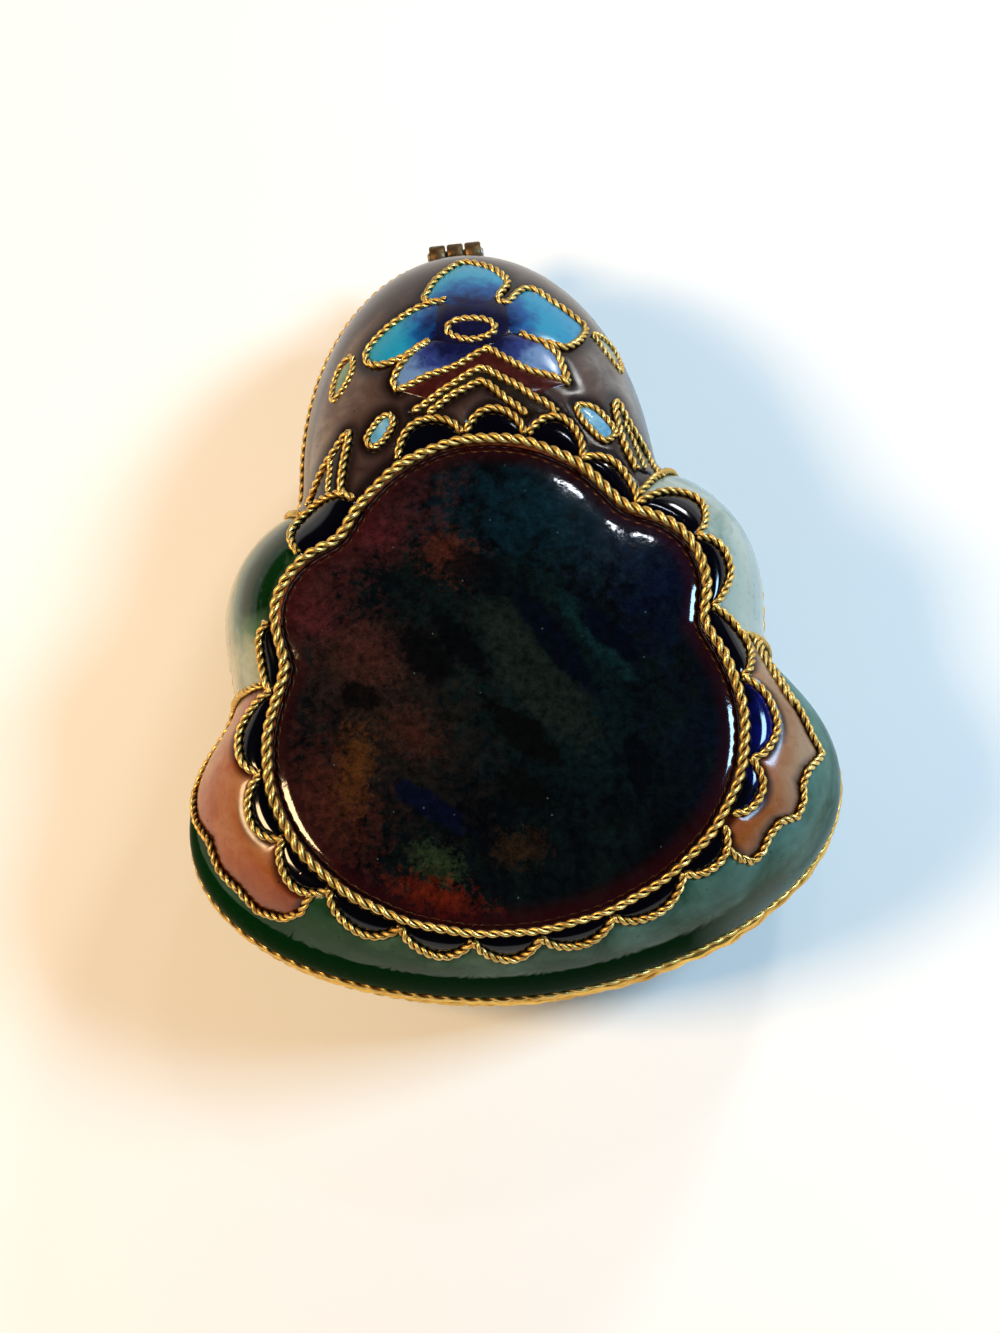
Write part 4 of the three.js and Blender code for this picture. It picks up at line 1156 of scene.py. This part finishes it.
# Flower, chevrons and small cells, drawn in plan in mm about the middle of the medallion
flower = {
    # the ring in the middle: its place, its two radii and its turn in degrees
    "ring": (0.8, 30, 1.95, 1.05, -6),
    "ground": [(-2.6, 31.4), (-1.4, 33.4), (0.9, 34), (3.3, 33.6), (4.6, 31.8), (4.6, 30), (3.6, 28.8),
        (2.2, 28.1), (0.4, 28.2), (-1.4, 28.7), (-2.6, 29.7)],
    "groundLook": "indigoEnamel",
    # a pool's height at its wires, its rise, the way that takes, and the depth of its underside, in mm
    "pool": (0.02, 0.14, 0.25, -0.25),
    "fillRise": 0.1,
    "poolRings": (1, 0.96, 0.9, 0.8, 0.65, 0.45, 0.25, 0.1),
    # petals run from dark in the middle to pale: where that starts and the way it takes, in mm
    "petalFade": (2.5, 4),
    "looks": {
        "petal_top": "turquoiseEnamel", "petal_left": "turquoiseEnamel", "petal_right": "turquoiseEnamel",
        "petal_lower_left": "periwinkleEnamel", "petal_lower_right": "periwinkleEnamel",
        "leaf_left": "paleBlueEnamel", "leaf_right": "paleBlueEnamel", "diamond_left": "paleGreenEnamel",
        "diamond_right": "paleGreenEnamel",
    },
    "outlines": {
        "petal_top": [(-2.8, 33.6), (-2.3, 34.7), (-1.8, 35.6), (-0.8, 36.7), (0.7, 37.7), (2.4, 37.1),
            (3.4, 36.2), (4, 35.2), (4.1, 34.4), (3.5, 33.6), (3.2, 32.9), (2.7, 31.7), (0.8, 31.4),
            (-1, 31.7), (-1.5, 32.8)],
        "petal_left": [(-1.5, 33), (-2.6, 33), (-3.7, 32.7), (-5.1, 31.9), (-6.2, 31.2), (-7.3, 30.2),
            (-7.9, 29.2), (-7.7, 28.3), (-6.8, 27.9), (-5.2, 28.2), (-4, 28.6), (-2.8, 29.3), (-1.5, 29.6),
            (-1.2, 30.6), (-1.1, 31.6)],
        "petal_right": [(3.3, 32.7), (4, 32.7), (4.8, 33.4), (5.6, 34), (6.4, 33.9), (7.1, 33.3),
            (7.8, 32.5), (8.5, 31.9), (9.3, 31.1), (10, 30.2), (9.6, 29.2), (8.9, 28.2), (8.2, 27.7),
            (7.2, 28), (5.9, 28.5), (4.9, 29.1), (3.4, 29.3), (2.9, 30.4), (2.8, 31.5)],
        "petal_lower_left": [(-2.8, 29.3), (-3.7, 28.8), (-4.5, 28.1), (-5.3, 27), (-5.8, 25.9),
            (-5.3, 25.3), (-4.2, 25.7), (-3.1, 26.1), (-1.9, 26.4), (-0.6, 26.8), (0.5, 27.3), (1.2, 27.7),
            (2.1, 27.9), (1.4, 28.8), (0, 29), (-1.4, 29.4)],
        "petal_lower_right": [(2.1, 27.9), (2.8, 27.4), (3.6, 26.7), (4.4, 26.1), (5.3, 25.6), (6.5, 25.1),
            (7.5, 24.7), (7.8, 25.6), (7.6, 26.5), (7.2, 27.3), (6.5, 28.1), (5.6, 28.5), (4.8, 28.9),
            (3.6, 29.2), (2.6, 29)],
        "leaf_left": [(-6.4, 22.8), (-6.4, 22.2), (-7, 21.3), (-7.9, 20.7), (-8.2, 21.2), (-7.6, 22.1),
            (-7, 22.7)],
        "leaf_right": [(8.7, 22), (9.6, 21.8), (10.4, 21), (11.1, 19.8), (10.5, 19.2), (9.7, 20), (9, 21)],
        "diamond_left": [(-9.2, 29.6), (-9.1, 28.4), (-9.6, 27.2), (-10.3, 26.2), (-11, 25.7), (-11, 26.8),
            (-10.7, 28), (-10.1, 29.1)],
        "diamond_right": [(10.7, 29.8), (11.1, 28.8), (11.7, 27.6), (12.5, 26.5), (12.7, 27.7), (12.3, 29),
            (11.6, 29.8)],
    },
    "wires": {
        "petal_wire_top": [(-2.2, 33.2), (-2.8, 33.8), (-2.3, 34.8), (-1.8, 35.7), (-0.8, 36.8), (0.7, 37.8),
            (2.4, 37.2), (3.4, 36.3), (4.1, 35.3), (4.1, 34.5), (3.5, 33.7), (3.2, 32.9)],
        "petal_wire_left": [(-1, 33.3), (-2.4, 33.2), (-3.7, 32.8), (-5.1, 32), (-6.2, 31.3), (-7.3, 30.3),
            (-7.9, 29.3), (-7.8, 28.3), (-6.8, 27.8), (-5.2, 28.1), (-4, 28.6), (-2.7, 29.3)],
        "petal_wire_right": [(3.2, 32.9), (3.7, 32.4), (4.2, 32.7), (4.8, 33.5), (5.6, 34.1), (6.4, 34),
            (7.1, 33.4), (7.8, 32.6), (8.5, 32), (9.3, 31.2), (10.1, 30.3), (9.8, 29.2), (9, 28.2),
            (8.2, 27.7), (7.2, 28), (5.9, 28.5), (4.7, 29.2)],
        "petal_wire_lower_left": [(-2.7, 29.3), (-3.7, 28.8), (-4.6, 28.1), (-5.4, 27), (-5.9, 25.9),
            (-5.6, 25.1)],
        "petal_wire_lower_right": [(6.6, 28), (7.3, 27.3), (7.7, 26.4), (7.9, 25.4), (8.1, 24.4)],
        "chevron_wire_outer": [(-4.6, 23), (-3.1, 23.8), (-1.7, 24.7), (-0.3, 25.5), (0.8, 26), (1.5, 26.1),
            (2.3, 25.6), (3, 25), (4.3, 24), (5.2, 23.2), (6.2, 22.4), (6.9, 21.6)],
        "chevron_wire_inner": [(-3.4, 22.7), (-2.6, 23.2), (-1.8, 23.7), (-0.9, 24.2), (0, 24.6),
            (0.7, 24.9), (1.3, 24.9), (1.8, 24.5), (2.5, 23.8), (3.2, 23), (3.9, 22.3), (4.5, 21.6)],
        "chevronUpperWire": [(-5.6, 25.1), (-4.2, 25.6), (-3.1, 26), (-1.9, 26.3), (-0.6, 26.7), (0.5, 27.2),
            (1.4, 27.7), (2.1, 27.9), (2.8, 27.3), (3.6, 26.6), (4.4, 26), (5.3, 25.5), (6.6, 25),
            (8.2, 24.2)],
        "spearWireLeft": [(-13.9, 16.9), (-13.3, 18.1), (-12.7, 19), (-12.1, 19.8), (-11.4, 20.6),
            (-10.6, 21.5), (-9.9, 22.1), (-10.2, 20.6), (-10.6, 19), (-10.9, 17.6), (-10.8, 16.6)],
        "spearWireRight": [(14.7, 15.8), (14.2, 17.4), (13.7, 18.8), (13, 20.1), (12.4, 21.4), (11.8, 22.8),
            (11.6, 21.2), (11.8, 19.6), (12.2, 17.8), (12.7, 16.4)],
    },
    "fineWires": {
        "spearMiddleWires": [[(-11.5, 20.2), (-11.7, 18.8), (-12, 17.3)], [(12.2, 20.8), (12.8, 18.8),
            (13.4, 16.6)]],
        "leafWires": [[(-6.3, 23), (-6.2, 22.2), (-6.9, 21.1), (-8, 20.4), (-8.5, 21.2), (-7.7, 22.3),
            (-7, 22.9), (-6.3, 23)], [(8.5, 22.2), (9.7, 22), (10.6, 21.1), (11.4, 19.7), (10.5, 18.9),
            (9.5, 19.8), (8.8, 21), (8.5, 22.2)]],
    },
    "spears": {
        "spear_left": ([(-9.9, 22.1), (-11.4, 20.6), (-12.7, 19), (-13.7, 17.3)], [(-9.9, 22), (-10.4, 19.8),
            (-10.8, 18), (-10.8, 16.9)]),
        "spear_right": ([(11.8, 22.8), (11.7, 20.6), (12.1, 18.2), (12.7, 16.6)], [(11.8, 22.8), (13, 20.1),
            (14, 18), (14.6, 16)]),
    },
}


def liftedPlan(plan, lift):
    angles, slopes = planStation(plan[..., 0], plan[..., 1])
    return lidPoint(angles, slopes) + lidNormal(angles, slopes) * np.asarray(lift)[..., None]


def poolLift(edge, rise):
    low, _, way, _ = flower["pool"]
    return low + rise * (1 - np.exp(-edge / way))


def cellPiece(name, outline, look, towards=None):
    # a pool of glass inside a closed outline, drawn in rings towards its middle
    _, rise, way, under = flower["pool"]
    start, fade = flower["petalFade"]
    outline = smoothLine(outline, True, 5)
    middle = outline.mean(0)
    reach = np.linalg.norm(outline - middle, axis=1).min()
    flat = np.ones(len(outline))
    rings, edges, tones = [liftedPlan(outline, flat * under)], [flat * 0], []
    for share in flower["poolRings"]:
        plan = middle + (outline - middle) * share
        edge = (1 - share) * reach
        rings.append(liftedPlan(plan, flat * poolLift(edge, rise)))
        edges.append(flat * (way + edge))
        tones.append(flat * 0.6 if towards is None else
                     np.clip((np.hypot(*(plan - towards).T) - start) / fade, 0, 0.95))
    edge = np.concatenate(edges + [[0.0, way + reach]])
    tone = np.concatenate(tones[:1] + tones + [[0.5, tones[-1].mean()]])
    fitPiece(name, loft(rings), look, edge=edge, tone=tone)


def fillPiece(name, upperLine, lowerLine, look):
    # a pool of glass between two lines
    lines = []
    for line in (upperLine, lowerLine):
        line = smoothLine(line)
        run = runAlong(line)
        lines.append(valuesAt(np.linspace(0, run[-1], 60), run, line))
    shares = np.linspace(0, 1, 7)[:, None]
    plan = lines[0] + (lines[1] - lines[0]) * shares[..., None]
    edge = np.minimum(shares, 1 - shares) * np.linalg.norm(lines[1] - lines[0], axis=1)
    top = liftedPlan(plan, poolLift(edge, flower["fillRise"]))
    bottom = liftedPlan(plan, np.full_like(edge, flower["pool"][-1]))
    fitPiece(name, slab(top, bottom), look, edge=np.tile(edge.ravel() + 0.15, 2))


def buildFlower():
    phases = np.linspace(0, 2 * math.pi, 60, endpoint=False)
    x, y, rx, ry, tilt = flower["ring"]
    c, s = rx * np.cos(phases), ry * np.sin(phases)
    turn = tilt * degree
    oval = np.stack([x + c * math.cos(turn) - s * math.sin(turn),
                     y + c * math.sin(turn) + s * math.cos(turn)], -1)
    lines = flower["wires"]
    groups = [lines.values(), *flower["fineWires"].values()]
    spots = np.vstack([smoothLine(line) for group in groups for line in group] + [oval])
    field = fieldShape(lid["domeTurn"], 360 - lid["domeTurn"], scallopEdge, rimEdge, lid["domeRows"],
                       domeTone, wireSpots=spots)
    joinedPiece("dome_enamel", [field], "mauveEnamel")
    cellPiece("flowerGroundEnamel", flower["ground"], flower["groundLook"])
    cellPiece("flower_centre_enamel", oval[::3], flower["groundLook"])
    wirePiece("flower_centre_wire", [planLine(oval[::3], True)], "thin", True)
    for name, outline in flower["outlines"].items():
        if "diamond" in name:
            wirePiece(camel(name) + "Wire", [planLine(outline, True)], "fine", True)
        cellPiece(name, outline, flower["looks"][name], flower["ring"][:2] if "petal" in name else None)
    for name, line in lines.items():
        wirePiece(name, [planLine(line)], "thin")
    for name, group in flower["fineWires"].items():
        wirePiece(name, [planLine(line) for line in group], "fine")
    upper, outer, inner = lines["chevronUpperWire"], lines["chevron_wire_outer"], lines["chevron_wire_inner"]
    # the maroon glass tapers to the ends of the line above it
    fillPiece("chevronMaroonFill", upper, [upper[0], *outer[1:-2], upper[-1]], "maroonEnamel")
    fillPiece("chevronOliveFill", outer, inner, "oliveEnamel")
    for name, (upper, lower) in flower["spears"].items():
        fillPiece(name, upper, lower, "oliveEnamel")


buildFlower()
print("stage: flower, chevrons and small cells")
